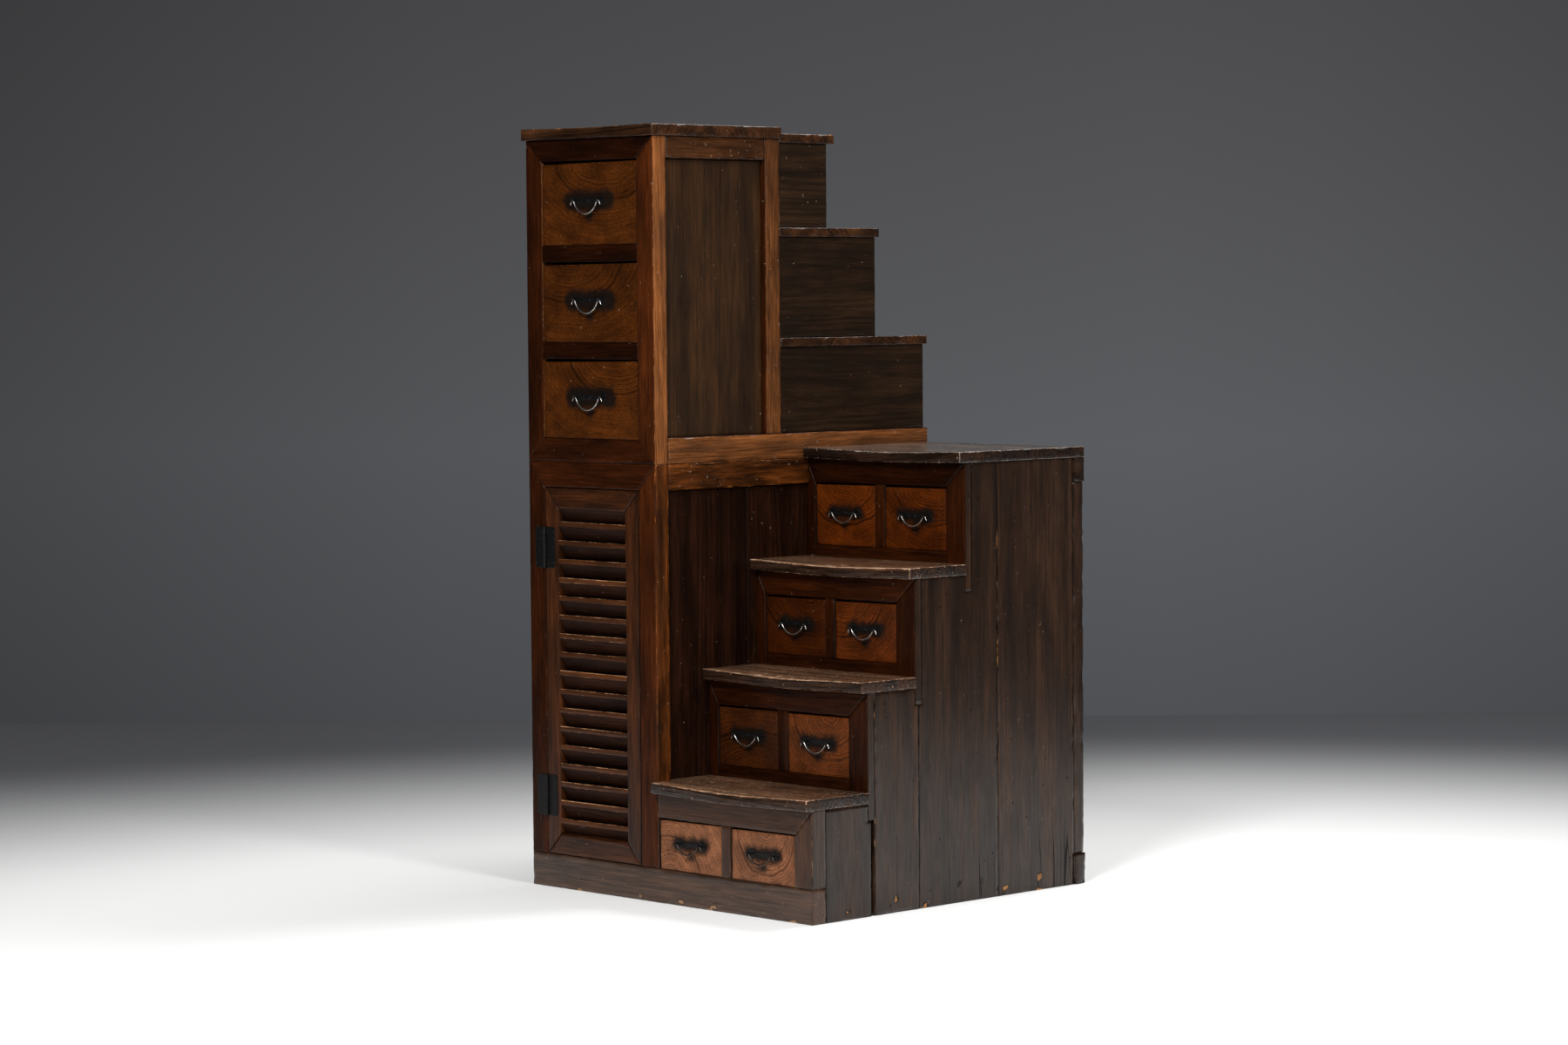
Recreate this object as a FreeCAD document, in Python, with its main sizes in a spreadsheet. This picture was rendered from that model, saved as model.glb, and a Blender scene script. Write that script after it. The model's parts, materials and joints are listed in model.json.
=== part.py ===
import FreeCAD, Part
import Sketcher
import math
import os
import re

# Step chest in two cases, in millimetres, +Z up.
# The front faces -Y and the stair is on the right, so a person climbs it towards +Y.
# Lengths below are counted from the lower chest's left front corner on the floor.
# placed() then moves the whole chest so that its origin is the middle of its base.

SIZES = {
    # Lower case
    "lower_width": 979.0,
    "lower_depth": 933.0,
    "tower_width": 456.0,
    "plinth_height": 82.0,
    "post_depth": 44.0,
    "tower_post_width": 58.0,
    "tower_rail_height": 63.0,
    "tower_rail_thickness": 30.0,
    "tower_panel_recess": 12.0,
    "tower_panel_thickness": 15.0,
    "tower_seam_front": 310.0,
    "tower_seam_back": 590.0,
    "side_board_thickness": 18.0,
    "floor_thickness": 15.0,
    "shelf_thickness": 15.0,
    "shelf_height": 448.0,
    "shelf_setback": 12.0,
    "cleat_size": 20.0,
    # Back frame and its boards
    "back_frame_depth": 36.0,
    "back_post_width": 34.0,
    "back_bottom_rail_height": 76.0,
    "back_top_rail_height": 59.0,
    "back_board_thickness": 12.0,
    # Stair
    "step_1_rise": 290.0,
    "step_2_rise": 258.0,
    "step_3_rise": 256.0,
    "landing_rise": 266.0,
    "step_2_setback": 182.5,
    "step_3_setback": 160.0,
    "landing_setback": 172.5,
    "tread_thickness": 26.0,
    "tread_nosing": 23.0,
    "side_overhang": 5.0,
    "riser_frame_thickness": 22.0,
    "riser_left_stile": 31.0,
    "riser_right_stile": 62.0,
    "riser_mullion": 31.0,
    "riser_top_rail": 60.0,
    "riser_bottom_rail": 27.0,
    "stile_foot": 40.0,
    "step_1_left_strip": 5.0,
    "step_1_post_width": 57.0,
    "side_gap_width": 12.0,
    "side_seam_step_1": 192.5,
    "side_seam_step_2": 353.0,
    "side_seam_landing": 625.0,
    # Upper case
    "upper_depth": 419.0,
    "upper_stile_width": 57.0,
    "upper_bottom_rail": 56.0,
    "upper_top_rail": 53.0,
    "upper_middle_rail": 40.0,
    "bottom_drawer_opening": 192.0,
    "middle_drawer_opening": 194.0,
    "top_drawer_opening": 203.0,
    "top_board_thickness": 28.0,
    "top_board_overhang": 8.4,
    "upper_frame_thickness": 30.0,
    "upper_back_stile": 50.0,
    "upper_base_rail": 62.0,
    "upper_panel_recess": 14.0,
    "upper_panel_thickness": 10.0,
    "step_panel_recess": 5.0,
    "step_panel_thickness": 18.0,
    "step_riser_thickness": 14.0,
    "upper_step_1_rise": 268.5,
    "upper_step_2_rise": 268.5,
    "upper_step_3_rise": 228.0,
    "upper_step_2_setback": 170.0,
    "upper_step_3_setback": 168.0,
    "upper_tread_thickness": 22.0,
    "upper_tread_nosing": 10.0,
    "upper_top_nosing": 22.0,
    # Drawers
    "drawer_side_gap": 2.0,
    "drawer_top_gap": 2.5,
    "drawer_slide_clearance": 0.3,
    "drawer_setback": 2.0,
    "drawer_back_gap": 10.0,
    "drawer_front_thickness": 20.0,
    "drawer_side_thickness": 9.0,
    "drawer_side_drop": 8.0,
    "drawer_bottom_thickness": 7.0,
    "dust_board_thickness": 12.0,
    "guide_height": 20.0,
    # Handles
    "stair_handle_spacing": 79.0,
    "upper_handle_spacing": 91.0,
    "stair_bail_drop": 24.0,
    "upper_bail_drop": 31.0,
    "bail_wire_radius": 2.1,
    "bail_curl_radius": 5.2,
    "bail_tip_length": 7.0,
    "handle_standoff": 12.0,
    "handle_raise": 5.0,
    "eye_clearance": 0.5,
    "eye_wire_radius": 1.5,
    "eye_shank_radius": 2.0,
    "handle_plate_thickness": 1.6,
    "handle_disc_radius": 12.0,
    "handle_bar_height": 12.0,
    "plate_nail_radius": 3.0,
    "plate_nail_height": 1.8,
    # Louvred door and its hinges
    "door_gap": 1.5,
    "door_thickness": 26.0,
    "door_stop_size": 12.0,
    "door_stop_gap": 0.4,
    "door_stile_width": 47.5,
    "door_rail_width": 51.0,
    "louvre_face_height": 14.5,
    "louvre_depth": 22.0,
    "louvre_drop": 33.0,
    "hinge_top_inset": 96.0,
    "hinge_bottom_inset": 92.0,
    "hinge_length": 101.0,
    "leaf_width": 37.0,
    "leaf_thickness": 2.0,
    "leaf_corner_radius": 9.0,
    "knuckle_radius": 4.5,
    "knuckle_gap": 0.4,
    "pin_radius": 2.5,
    "pin_clearance": 0.05,
    "hinge_nail_radius": 2.6,
    "hinge_nail_height": 1.2,
    "hinge_nail_inset": 12.0,
}

# Counts, an angle in degrees, and shares chosen by hand
LOUVRE_COUNT = 18
LOUVRE_HIDDEN_SHARE = 0.33
LOUVRE_LOST_SHARE = 0.5
KNUCKLE_COUNT = 5
BAIL_TIP_SPLAY = 24
BACK_BOARD_SHARES = (0.0, 0.24, 0.5, 0.77, 1.0)
LEFT_BOARD_SHARES = (0.0, 0.33, 0.68, 1.0)

doc = FreeCAD.newDocument("step_chest")
sheet = doc.addObject("Spreadsheet::Sheet", "sizes")
for row, (alias, number) in enumerate(SIZES.items(), start=1):
    sheet.set(f"A{row}", str(number))
    sheet.setAlias(f"A{row}", alias)
doc.recompute()


# Formulas are text in the names above

def bind(item, prop, formula):
    """Tie one property of a document object to a formula in the named sizes."""
    cell = lambda word: f"sizes.{word[0]}" if word[0] in SIZES else word[0]
    item.setExpression(prop, re.sub(r"[a-z][a-z_0-9]*", cell, formula))


def total(*terms):
    return " + ".join(f"({term})" for term in terms)


def less(first, *others):
    return f"({first})" + "".join(f" - ({other})" for other in others)


def share(span, part):
    """The place at a share of the way along a span."""
    return f"({span[0]}) + (({span[1]}) - ({span[0]})) * {part}"


def mirrored(span):
    """A span across the tower, seen from its other side."""
    return less("tower_width", span[1]), less("tower_width", span[0])


STEP_TOPS = ["step_1_rise"]
for rise in ("step_2_rise", "step_3_rise", "landing_rise"):
    STEP_TOPS.append(total(STEP_TOPS[-1], rise))
STEP_UNDERSIDES = [less(top, "tread_thickness") for top in STEP_TOPS]
RISERS = ["0"]
for setback in ("step_2_setback", "step_3_setback", "landing_setback"):
    RISERS.append(total(RISERS[-1], setback))

LOWER_TOP = STEP_UNDERSIDES[3]
LANDING_TOP = STEP_TOPS[3]
PANEL_FACE = less("tower_width", "tower_panel_recess")
PANEL_BACK = less(PANEL_FACE, "tower_panel_thickness")
RAIL_BACK = less("tower_width", "tower_rail_thickness")
SIDE_FACE_INSIDE = less("lower_width", "side_board_thickness")
BACK_FRAME_FRONT = less("lower_depth", "back_frame_depth")
RIGHT_REACH = total("lower_width", "side_overhang")
CENTRE_X = f"({RIGHT_REACH} - top_board_overhang) / 2"
CENTRE_Y = "(lower_depth - tread_nosing) / 2"

UPPER_BASE_TOP = total(LOWER_TOP, "upper_base_rail")
UPPER_OPENINGS = []
UPPER_RAILS = []
level = total(LOWER_TOP, "upper_bottom_rail")
for height in ("bottom_drawer_opening", "middle_drawer_opening", "top_drawer_opening"):
    UPPER_OPENINGS.append((level, total(level, height)))
    level = total(level, height, "upper_middle_rail")
for under, over in zip(UPPER_OPENINGS, UPPER_OPENINGS[1:]):
    UPPER_RAILS.append((under[1], over[0]))
UPPER_TOP_RAIL = (UPPER_OPENINGS[2][1], total(UPPER_OPENINGS[2][1], "upper_top_rail"))
UPPER_TOP = UPPER_TOP_RAIL[1]


# Document objects

def placed(item, x, y, z):
    """Bind an object's place, with the chest's origin at the middle of its base."""
    bind(item, "Placement.Base.x", less(x, CENTRE_X))
    bind(item, "Placement.Base.y", less(y, CENTRE_Y))
    bind(item, "Placement.Base.z", z)


def board(label, x, y, z):
    box = doc.addObject("Part::Box", "board")
    box.Label = label
    bind(box, "Length", less(x[1], x[0]))
    bind(box, "Width", less(y[1], y[0]))
    bind(box, "Height", less(z[1], z[0]))
    placed(box, x[0], y[0], z[0])
    return box


def wedge(label, along, near, far, across):
    """A board whose section changes evenly from the near to the far end of its own Y axis."""
    item = doc.addObject("Part::Wedge", "wedge")
    item.Label = label
    bind(item, "Ymin", along[0])
    bind(item, "Ymax", along[1])
    for names, span in zip(across, (near, far)):
        bind(item, names[0], span[0])
        bind(item, names[1], span[1])
    return item


def mitred_rail(label, z, low_x, high_x, y):
    """A level member whose ends slant from low_x at its lower edge to high_x at its upper."""
    item = wedge(label, z, low_x, high_x, (("Xmin", "Xmax"), ("X2min", "X2max")))
    for low, high in (("Zmin", "Zmax"), ("Z2min", "Z2max")):
        bind(item, low, f"-({y[1]})")
        bind(item, high, f"-({y[0]})")
    item.Placement.Rotation = FreeCAD.Rotation(FreeCAD.Vector(1, 0, 0), 90)
    placed(item, "0", "0", "0")
    return item


def mitred_stile(label, x, left_z, right_z, y):
    """An upright member whose ends slant from left_z at its left edge to right_z at its right."""
    item = wedge(label, x, left_z, right_z, (("Zmin", "Zmax"), ("Z2min", "Z2max")))
    for low, high in (("Xmin", "Xmax"), ("X2min", "X2max")):
        bind(item, low, f"-({y[1]})")
        bind(item, high, f"-({y[0]})")
    item.Placement.Rotation = FreeCAD.Rotation(FreeCAD.Vector(0, 0, 1), -90)
    placed(item, "0", "0", "0")
    return item


def cylinder(label, radius, length, centre, axis):
    """A round bar from centre along axis, in its handle's or hinge's own frame."""
    item = doc.addObject("Part::Cylinder", "cylinder")
    item.Label = label
    bind(item, "Radius", radius)
    bind(item, "Height", length)
    item.Placement.Rotation = FreeCAD.Rotation(FreeCAD.Vector(0, 0, 1), FreeCAD.Vector(*axis))
    for letter, formula in zip("xyz", centre):
        bind(item, f"Placement.Base.{letter}", formula)
    return item


def fused(label, parts):
    item = doc.addObject("Part::MultiFuse", "joined")
    item.Label = label
    item.Shapes = parts
    return item


def cut(label, base, tool):
    item = doc.addObject("Part::Cut", "cut")
    item.Label = label
    item.Base = base
    item.Tool = tool
    return item


def group(label, parts):
    item = doc.addObject("Part::Compound", "group")
    item.Label = label
    item.Links = parts
    return item


NODES = []


def node(label, parts):
    """A named sub-part: one board, or several like pieces that stay separate solids."""
    item = group(label, parts)
    NODES.append(item)
    return item


# Lower case: plinth, tower frame, side and back

def lower_case():
    front = ("0", "post_depth")
    sill = "plinth_height"
    inside_y = ("post_depth", BACK_FRAME_FRONT)
    node("base_plinth", [board("plinth", ("0", "lower_width"), front, ("0", sill))])

    opening = ("tower_post_width", less("tower_width", "tower_post_width"))
    rail_z = (less(LOWER_TOP, "tower_rail_height"), LOWER_TOP)
    stop_front = total("door_thickness", "door_stop_gap")
    node("tower_frame", [
        mitred_stile("tower left post", ("0", opening[0]), (sill, LOWER_TOP), (sill, rail_z[0]), front),
        mitred_stile("tower right post", (opening[1], "tower_width"), (sill, rail_z[0]), (sill, LOWER_TOP),
                     front),
        mitred_rail("tower front rail", rail_z, opening, ("0", "tower_width"), front),
        board("door stop", (less(opening[1], "door_stop_size"), opening[1]),
              (stop_front, total(stop_front, "door_stop_size")), (sill, rail_z[0])),
        board("tower side rail", (RAIL_BACK, "tower_width"), ("post_depth", RISERS[3]), rail_z),
        board("tower side rail in the stair", (RAIL_BACK, PANEL_FACE), (RISERS[3], BACK_FRAME_FRONT),
              rail_z),
    ])

    seams = ("post_depth", "tower_seam_front", "tower_seam_back", BACK_FRAME_FRONT)
    node("tower_side_boards", [
        board("tower side board", (PANEL_BACK, PANEL_FACE), span, (sill, rail_z[0]))
        for span in zip(seams, seams[1:])
    ])
    seams = [share(inside_y, part) for part in LEFT_BOARD_SHARES]
    node("lower_left_boards", [
        board("left side board", ("0", "side_board_thickness"), span, ("0", LOWER_TOP))
        for span in zip(seams, seams[1:])
    ])

    back_y = (BACK_FRAME_FRONT, "lower_depth")
    rail_x = ("-side_overhang", RIGHT_REACH)
    between = ("back_bottom_rail_height", less(LOWER_TOP, "back_top_rail_height"))
    inner_x = ("back_post_width", less("lower_width", "back_post_width"))
    node("back_frame", [
        board("back left post", ("0", inner_x[0]), back_y, between),
        board("back right post", (inner_x[1], "lower_width"), back_y, between),
        board("back bottom rail", rail_x, back_y, ("0", between[0])),
        board("back top rail", rail_x, back_y, (between[1], LOWER_TOP)),
    ])
    board_y = (BACK_FRAME_FRONT, total(BACK_FRAME_FRONT, "back_board_thickness"))
    seams = [share(inner_x, part) for part in BACK_BOARD_SHARES]
    node("lower_back_boards", [
        board("back board", span, board_y, between) for span in zip(seams, seams[1:])
    ])


def lower_shelves():
    """The floor of the whole lower case, the tower's top and its one shelf on cleats."""
    inside_y = ("post_depth", BACK_FRAME_FRONT)
    room_x = ("side_board_thickness", PANEL_BACK)
    shelf_z = total("plinth_height", "shelf_height")
    cleat_z = (less(shelf_z, "cleat_size"), shelf_z)
    cleat_y = (total("post_depth", "shelf_setback"), BACK_FRAME_FRONT)
    node("lower_shelf_boards", [
        board("floor", ("side_board_thickness", SIDE_FACE_INSIDE), inside_y,
              (less("plinth_height", "floor_thickness"), "plinth_height")),
        board("tower top", ("side_board_thickness", RAIL_BACK), inside_y,
              (less(LOWER_TOP, "shelf_thickness"), LOWER_TOP)),
        board("shelf", room_x, cleat_y, (shelf_z, total(shelf_z, "shelf_thickness"))),
        board("left cleat", (room_x[0], total(room_x[0], "cleat_size")), cleat_y, cleat_z),
        board("right cleat", (less(room_x[1], "cleat_size"), room_x[1]), cleat_y, cleat_z),
    ])


# Stair: a front frame for each rise, its tread, the side boards and the drawers' runners

def drawer_columns(left, right):
    """The two drawer openings between a left and a right member, and the mullion between them."""
    width = f"(({right}) - ({left}) - riser_mullion) / 2"
    mullion = (total(left, width), less(right, width))
    return (left, mullion[0]), (mullion[1], right), mullion


STAIR_STYLES = []
for tier in range(4):
    first = tier == 0
    left = total("tower_width", "step_1_left_strip") if first else total(PANEL_FACE, "riser_left_stile")
    right_width = "step_1_post_width" if first else "riser_right_stile"
    columns = drawer_columns(left, less("lower_width", right_width))
    sill = "plinth_height" if first else total(STEP_TOPS[tier - 1], "riser_bottom_rail")
    STAIR_STYLES.append({
        "name": ("step_1", "step_2", "step_3", "landing")[tier],
        "columns": columns[:2],
        "mullion": columns[2],
        "sill": sill,
        "head": less(STEP_UNDERSIDES[tier], "riser_top_rail"),
        "front": RISERS[tier],
        "back": "post_depth" if first else total(RISERS[tier], "riser_frame_thickness"),
        "outer_left": "tower_width" if first else PANEL_FACE,
        "base": "plinth_height" if first else STEP_UNDERSIDES[tier - 1],
        "foot": "plinth_height" if first else less(STEP_UNDERSIDES[tier - 1], "stile_foot"),
    })


def riser_frame(tier):
    """One front frame: stiles, mullion and rails round two drawers, mitred at the top."""
    style = STAIR_STYLES[tier]
    left, right = style["columns"][0][0], style["columns"][1][1]
    y = (style["front"], style["back"])
    head, top = style["head"], STEP_UNDERSIDES[tier]
    outer = (style["outer_left"], "lower_width")
    square_left = tier == 0
    rail_low = (outer[0] if square_left else left, right)
    left_top = head if square_left else top
    members = [
        mitred_rail(style["name"] + " top rail", (head, top), rail_low, outer, y),
        mitred_stile(style["name"] + " left stile", (outer[0], left), (style["base"], left_top),
                     (style["base"], head), y),
        mitred_stile(style["name"] + " right stile", (right, outer[1]), (style["foot"], head),
                     (style["foot"], top), y),
        board(style["name"] + " mullion", style["mullion"], y, (style["sill"], head)),
    ]
    if tier:
        members.append(board(style["name"] + " bottom rail", (left, right), y,
                             (style["base"], style["sill"])))
    node(style["name"] + "_frame", members)
    top_rail, right_stile = members[0], members[2]
    return [top_rail, right_stile]


def stair():
    corners = [riser_frame(tier) for tier in range(4)]

    treads = []
    for tier in range(3):
        treads.append(board(f"tread {tier + 1}", (PANEL_FACE, RIGHT_REACH),
                            (less(RISERS[tier], "tread_nosing"), RISERS[tier + 1]),
                            (STEP_UNDERSIDES[tier], STEP_TOPS[tier])))
    post_notch = board("notch for the tower post", (PANEL_FACE, "tower_width"),
                       ("-tread_nosing", "post_depth"), (STEP_UNDERSIDES[0], STEP_TOPS[0]))
    node("stair_treads", [cut("tread 1 notched", treads[0], post_notch)] + treads[1:])
    node("landing_board", [board("landing", ("tower_width", RIGHT_REACH),
                                 (less(RISERS[3], "tread_nosing"), "lower_depth"),
                                 (LOWER_TOP, LANDING_TOP))])

    # Side boards stand upright and are cut away for the top step and for the frames' corners
    side_x = (SIDE_FACE_INSIDE, "lower_width")
    top_step = board("room above tread 3", side_x, ("0", RISERS[3]), (STEP_UNDERSIDES[2], LOWER_TOP))
    edges = (("post_depth", "side_seam_step_1"),
             (total("side_seam_step_1", "side_gap_width"), "side_seam_step_2"),
             ("side_seam_step_2", "side_seam_landing"),
             ("side_seam_landing", BACK_FRAME_FRONT))
    tops = (STEP_UNDERSIDES[0], STEP_UNDERSIDES[1], LOWER_TOP, LOWER_TOP)
    boards = [board(f"side board {index + 1}", side_x, span, ("0", top))
              for index, (span, top) in enumerate(zip(edges, tops))]
    boards[0] = cut("side board 1 cut", boards[0], group("round side board 1", corners[1]))
    boards[1] = cut("side board 2 cut", boards[1], group("round side board 2", corners[1] + corners[2]))
    boards[2] = cut("side board 3 cut", boards[2],
                    group("round side board 3", [top_step] + corners[2] + corners[3]))
    node("stair_side_boards", boards)


def stair_shelves():
    """Dust boards that the upper three tiers of drawers run on, and their guides."""
    boards = []
    for tier, style in enumerate(STAIR_STYLES):
        sill = style["sill"]
        y = (style["back"], BACK_FRAME_FRONT)
        if tier:
            boards.append(board(style["name"] + " dust board", (PANEL_FACE, SIDE_FACE_INSIDE), y,
                                (less(sill, "dust_board_thickness"), sill)))
        guides = ((PANEL_FACE, style["columns"][0][0]), style["mullion"],
                  (style["columns"][1][1], SIDE_FACE_INSIDE))
        for span in guides:
            boards.append(board(style["name"] + " guide", span, y, (sill, total(sill, "guide_height"))))
    node("stair_drawer_shelves", boards)


# Upper case: drawer tower in front, and three steps that climb from the back towards it

def upper_front():
    y = ("0", "post_depth")
    opening = ("upper_stile_width", less("tower_width", "upper_stile_width"))
    outer_z = (LOWER_TOP, UPPER_TOP)
    inner_z = (UPPER_OPENINGS[0][0], UPPER_TOP_RAIL[0])
    full = ("0", "tower_width")
    node("upper_front_frame", [
        mitred_stile("upper left stile", ("0", opening[0]), outer_z, inner_z, y),
        mitred_stile("upper right post", (opening[1], "tower_width"), inner_z, outer_z, y),
        mitred_rail("upper bottom rail", (LOWER_TOP, inner_z[0]), full, opening, y),
        mitred_rail("upper top rail", UPPER_TOP_RAIL, opening, full, y),
    ] + [board("upper middle rail", opening, y, rail) for rail in UPPER_RAILS])


def upper_sides():
    frames, panels = [], []
    stile_y = (less("upper_depth", "upper_back_stile"), "upper_depth")
    frame_x = (less("tower_width", "upper_frame_thickness"), "tower_width")
    panel_face = less("tower_width", "upper_panel_recess")
    panel_x = (less(panel_face, "upper_panel_thickness"), panel_face)
    between_y = ("post_depth", stile_y[0])
    for turned in (lambda span: span, mirrored):
        x = turned(frame_x)
        frames += [
            board("upper side top rail", x, between_y, UPPER_TOP_RAIL),
            board("upper back stile", x, stile_y, (UPPER_BASE_TOP, UPPER_TOP)),
            board("upper base rail", x, ("post_depth", "lower_depth"), (LOWER_TOP, UPPER_BASE_TOP)),
        ]
        panels.append(board("upper side panel", turned(panel_x), between_y,
                            (UPPER_BASE_TOP, UPPER_TOP_RAIL[0])))
    frames.append(board("upper back base rail", (mirrored(frame_x)[1], frame_x[0]),
                        (BACK_FRAME_FRONT, "lower_depth"), (LOWER_TOP, UPPER_BASE_TOP)))
    node("upper_side_frames", frames)
    node("upper_side_panels", panels)


def upper_steps():
    """Three steps behind the drawers, each a box with side panels, a back riser and a tread."""
    risers = [less("lower_depth", "upper_tread_nosing")]
    for setback in ("upper_step_2_setback", "upper_step_3_setback"):
        risers.append(less(risers[-1], setback))
    nosings = ("upper_tread_nosing", "upper_tread_nosing", "upper_top_nosing")
    tops = [total(LANDING_TOP, "upper_step_1_rise")]
    for rise in ("upper_step_2_rise", "upper_step_3_rise"):
        tops.append(total(tops[-1], rise))
    panel_face = less("tower_width", "step_panel_recess")
    panel_x = (less(panel_face, "step_panel_thickness"), panel_face)
    inner_x = (mirrored(panel_x)[1], panel_x[0])
    base = UPPER_BASE_TOP
    panels, treads, backs = [], [], []
    for riser, nosing, top in zip(risers, nosings, tops):
        z = (base, less(top, "upper_tread_thickness"))
        for turned in (lambda span: span, mirrored):
            panels.append(board("step panel", turned(panel_x), ("upper_depth", riser), z))
        backs.append(board("step riser", inner_x, (less(riser, "step_riser_thickness"), riser), z))
        treads.append(board("upper tread", ("0", "tower_width"), ("upper_depth", total(riser, nosing)),
                            (z[1], top)))
        base = top
    inner_x = ("upper_frame_thickness", less("tower_width", "upper_frame_thickness"))
    backs.append(board("drawer tower back", inner_x,
                       (less("upper_depth", "back_board_thickness"), "upper_depth"),
                       (UPPER_BASE_TOP, UPPER_TOP)))
    node("upper_step_panels", panels)
    node("upper_treads", treads)
    node("upper_back_boards", backs)


def upper_shelves():
    inner_x = ("upper_frame_thickness", less("tower_width", "upper_frame_thickness"))
    opening = ("upper_stile_width", less("tower_width", "upper_stile_width"))
    y = ("post_depth", less("upper_depth", "back_board_thickness"))
    boards = [board("upper floor", inner_x, ("post_depth", BACK_FRAME_FRONT),
                    (LOWER_TOP, total(LOWER_TOP, "floor_thickness")))]
    for sill, head in UPPER_OPENINGS:
        boards.append(board("upper dust board", inner_x, y, (less(sill, "dust_board_thickness"), sill)))
        for span in ((inner_x[0], opening[0]), (opening[1], inner_x[1])):
            boards.append(board("upper guide", span, y, (sill, total(sill, "guide_height"))))
    node("upper_drawer_shelves", boards)
    node("upper_top_board", [
        board("top board", ("-top_board_overhang", total("tower_width", "top_board_overhang")),
              ("-top_board_overhang", "upper_depth"), (UPPER_TOP, total(UPPER_TOP, "top_board_thickness"))),
    ])


# Drawers and their iron handles

def drawer(name, x, z, front, back):
    """An open box behind a thick front: sides and back stand on the bottom board."""
    x = (total(x[0], "drawer_side_gap"), less(x[1], "drawer_side_gap"))
    z = (total(z[0], "drawer_slide_clearance"), less(z[1], "drawer_top_gap"))
    front_y = (total(front, "drawer_setback"), total(front, "drawer_setback", "drawer_front_thickness"))
    box_y = (front_y[1], less(back, "drawer_back_gap"))
    side_z = (total(z[0], "drawer_bottom_thickness"), less(z[1], "drawer_side_drop"))
    inner_x = (total(x[0], "drawer_side_thickness"), less(x[1], "drawer_side_thickness"))
    node(name, [
        board(name + " front", x, front_y, z),
        board(name + " bottom", x, box_y, (z[0], side_z[0])),
        board(name + " left side", (x[0], inner_x[0]), box_y, side_z),
        board(name + " right side", (inner_x[1], x[1]), box_y, side_z),
        board(name + " back", inner_x, (less(box_y[1], "drawer_side_thickness"), box_y[1]), side_z),
    ])


def bail(kind):
    """Bent wire handle about the line through its eyes: half of it swept, then mirrored.

    The crown's arc and each end's curl meet in line, so the crown's radius follows from
    the spacing, the drop and the curl.
    """
    spacing, drop = f"{kind}_handle_spacing", f"{kind}_bail_drop"
    reach, sag = SIZES[spacing] / 2, SIZES[drop]
    curl, tip = SIZES["bail_curl_radius"], SIZES["bail_tip_length"]
    splay = math.radians(BAIL_TIP_SPLAY)
    crown = (reach ** 2 + sag ** 2 - 2 * sag * curl) / (2 * sag)
    lean = math.atan2(reach, crown + curl - sag)

    body = doc.addObject("PartDesign::Body", f"{kind}_bail")
    body.Label = f"{kind} bail"
    planes = {feature.Role: feature for feature in body.Origin.OriginFeatures}
    path = body.newObject("Sketcher::SketchObject", "bail_path")
    path.AttachmentSupport = [(planes["XZ_Plane"], "")]
    path.MapMode = "FlatFace"
    vector = lambda x, y: FreeCAD.Vector(x, y, 0)
    up = FreeCAD.Vector(0, 0, 1)
    down = -math.pi / 2
    path.addGeometry(Part.ArcOfCircle(Part.Circle(vector(0, crown - sag), up, crown), down, down + lean))
    path.addGeometry(Part.ArcOfCircle(Part.Circle(vector(reach, -curl), up, curl), splay,
                                      math.pi / 2 + lean))
    start = vector(reach + curl * math.cos(splay), curl * math.sin(splay) - curl)
    end = start + vector(tip * math.sin(splay), -tip * math.cos(splay))
    path.addGeometry(Part.LineSegment(start, end))
    path.addConstraint([
        Sketcher.Constraint("PointOnObject", 0, 1, -2),
        Sketcher.Constraint("PointOnObject", 0, 3, -2),
        Sketcher.Constraint("Tangent", 0, 2, 1, 2),
        Sketcher.Constraint("Tangent", 1, 1, 2, 1),
    ])
    for name, constraint, formula in (
        ("drop", Sketcher.Constraint("DistanceY", 0, 1, -1, 1, sag), drop),
        ("reach", Sketcher.Constraint("DistanceX", -1, 1, 1, 3, reach), f"{spacing} / 2"),
        ("depth", Sketcher.Constraint("DistanceY", 1, 3, -1, 1, curl), "bail_curl_radius"),
        ("curl", Sketcher.Constraint("Radius", 1, curl), "bail_curl_radius"),
        ("tip", Sketcher.Constraint("Distance", 2, 1, 2, 2, tip), "bail_tip_length"),
        ("splay", Sketcher.Constraint("DistanceX", 2, 1, 2, 2, tip * math.sin(splay)),
         f"bail_tip_length * sin({BAIL_TIP_SPLAY})"),
    ):
        index = path.addConstraint(constraint)
        path.renameConstraint(index, name)
        bind(path, f"Constraints.{name}", formula)

    wire = body.newObject("Sketcher::SketchObject", "bail_wire")
    wire.AttachmentSupport = [(planes["YZ_Plane"], "")]
    wire.MapMode = "FlatFace"
    wire.addGeometry(Part.Circle(vector(0, -sag), up, SIZES["bail_wire_radius"]))
    wire.addConstraint(Sketcher.Constraint("PointOnObject", 0, 3, -2))
    for name, constraint, formula in (
        ("drop", Sketcher.Constraint("DistanceY", 0, 3, -1, 1, sag), drop),
        ("wire", Sketcher.Constraint("Radius", 0, SIZES["bail_wire_radius"]), "bail_wire_radius"),
    ):
        index = wire.addConstraint(constraint)
        wire.renameConstraint(index, name)
        bind(wire, f"Constraints.{name}", formula)
    doc.recompute()

    half = body.newObject("PartDesign::AdditivePipe", "bail_half")
    half.Profile = wire
    half.Spine = (path, ["Edge1", "Edge2", "Edge3"])
    whole = body.newObject("PartDesign::Mirrored", "bail_whole")
    whole.Originals = [half]
    whole.MirrorPlane = (planes["YZ_Plane"], [""])
    body.Tip = whole
    doc.recompute()
    return body


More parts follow.
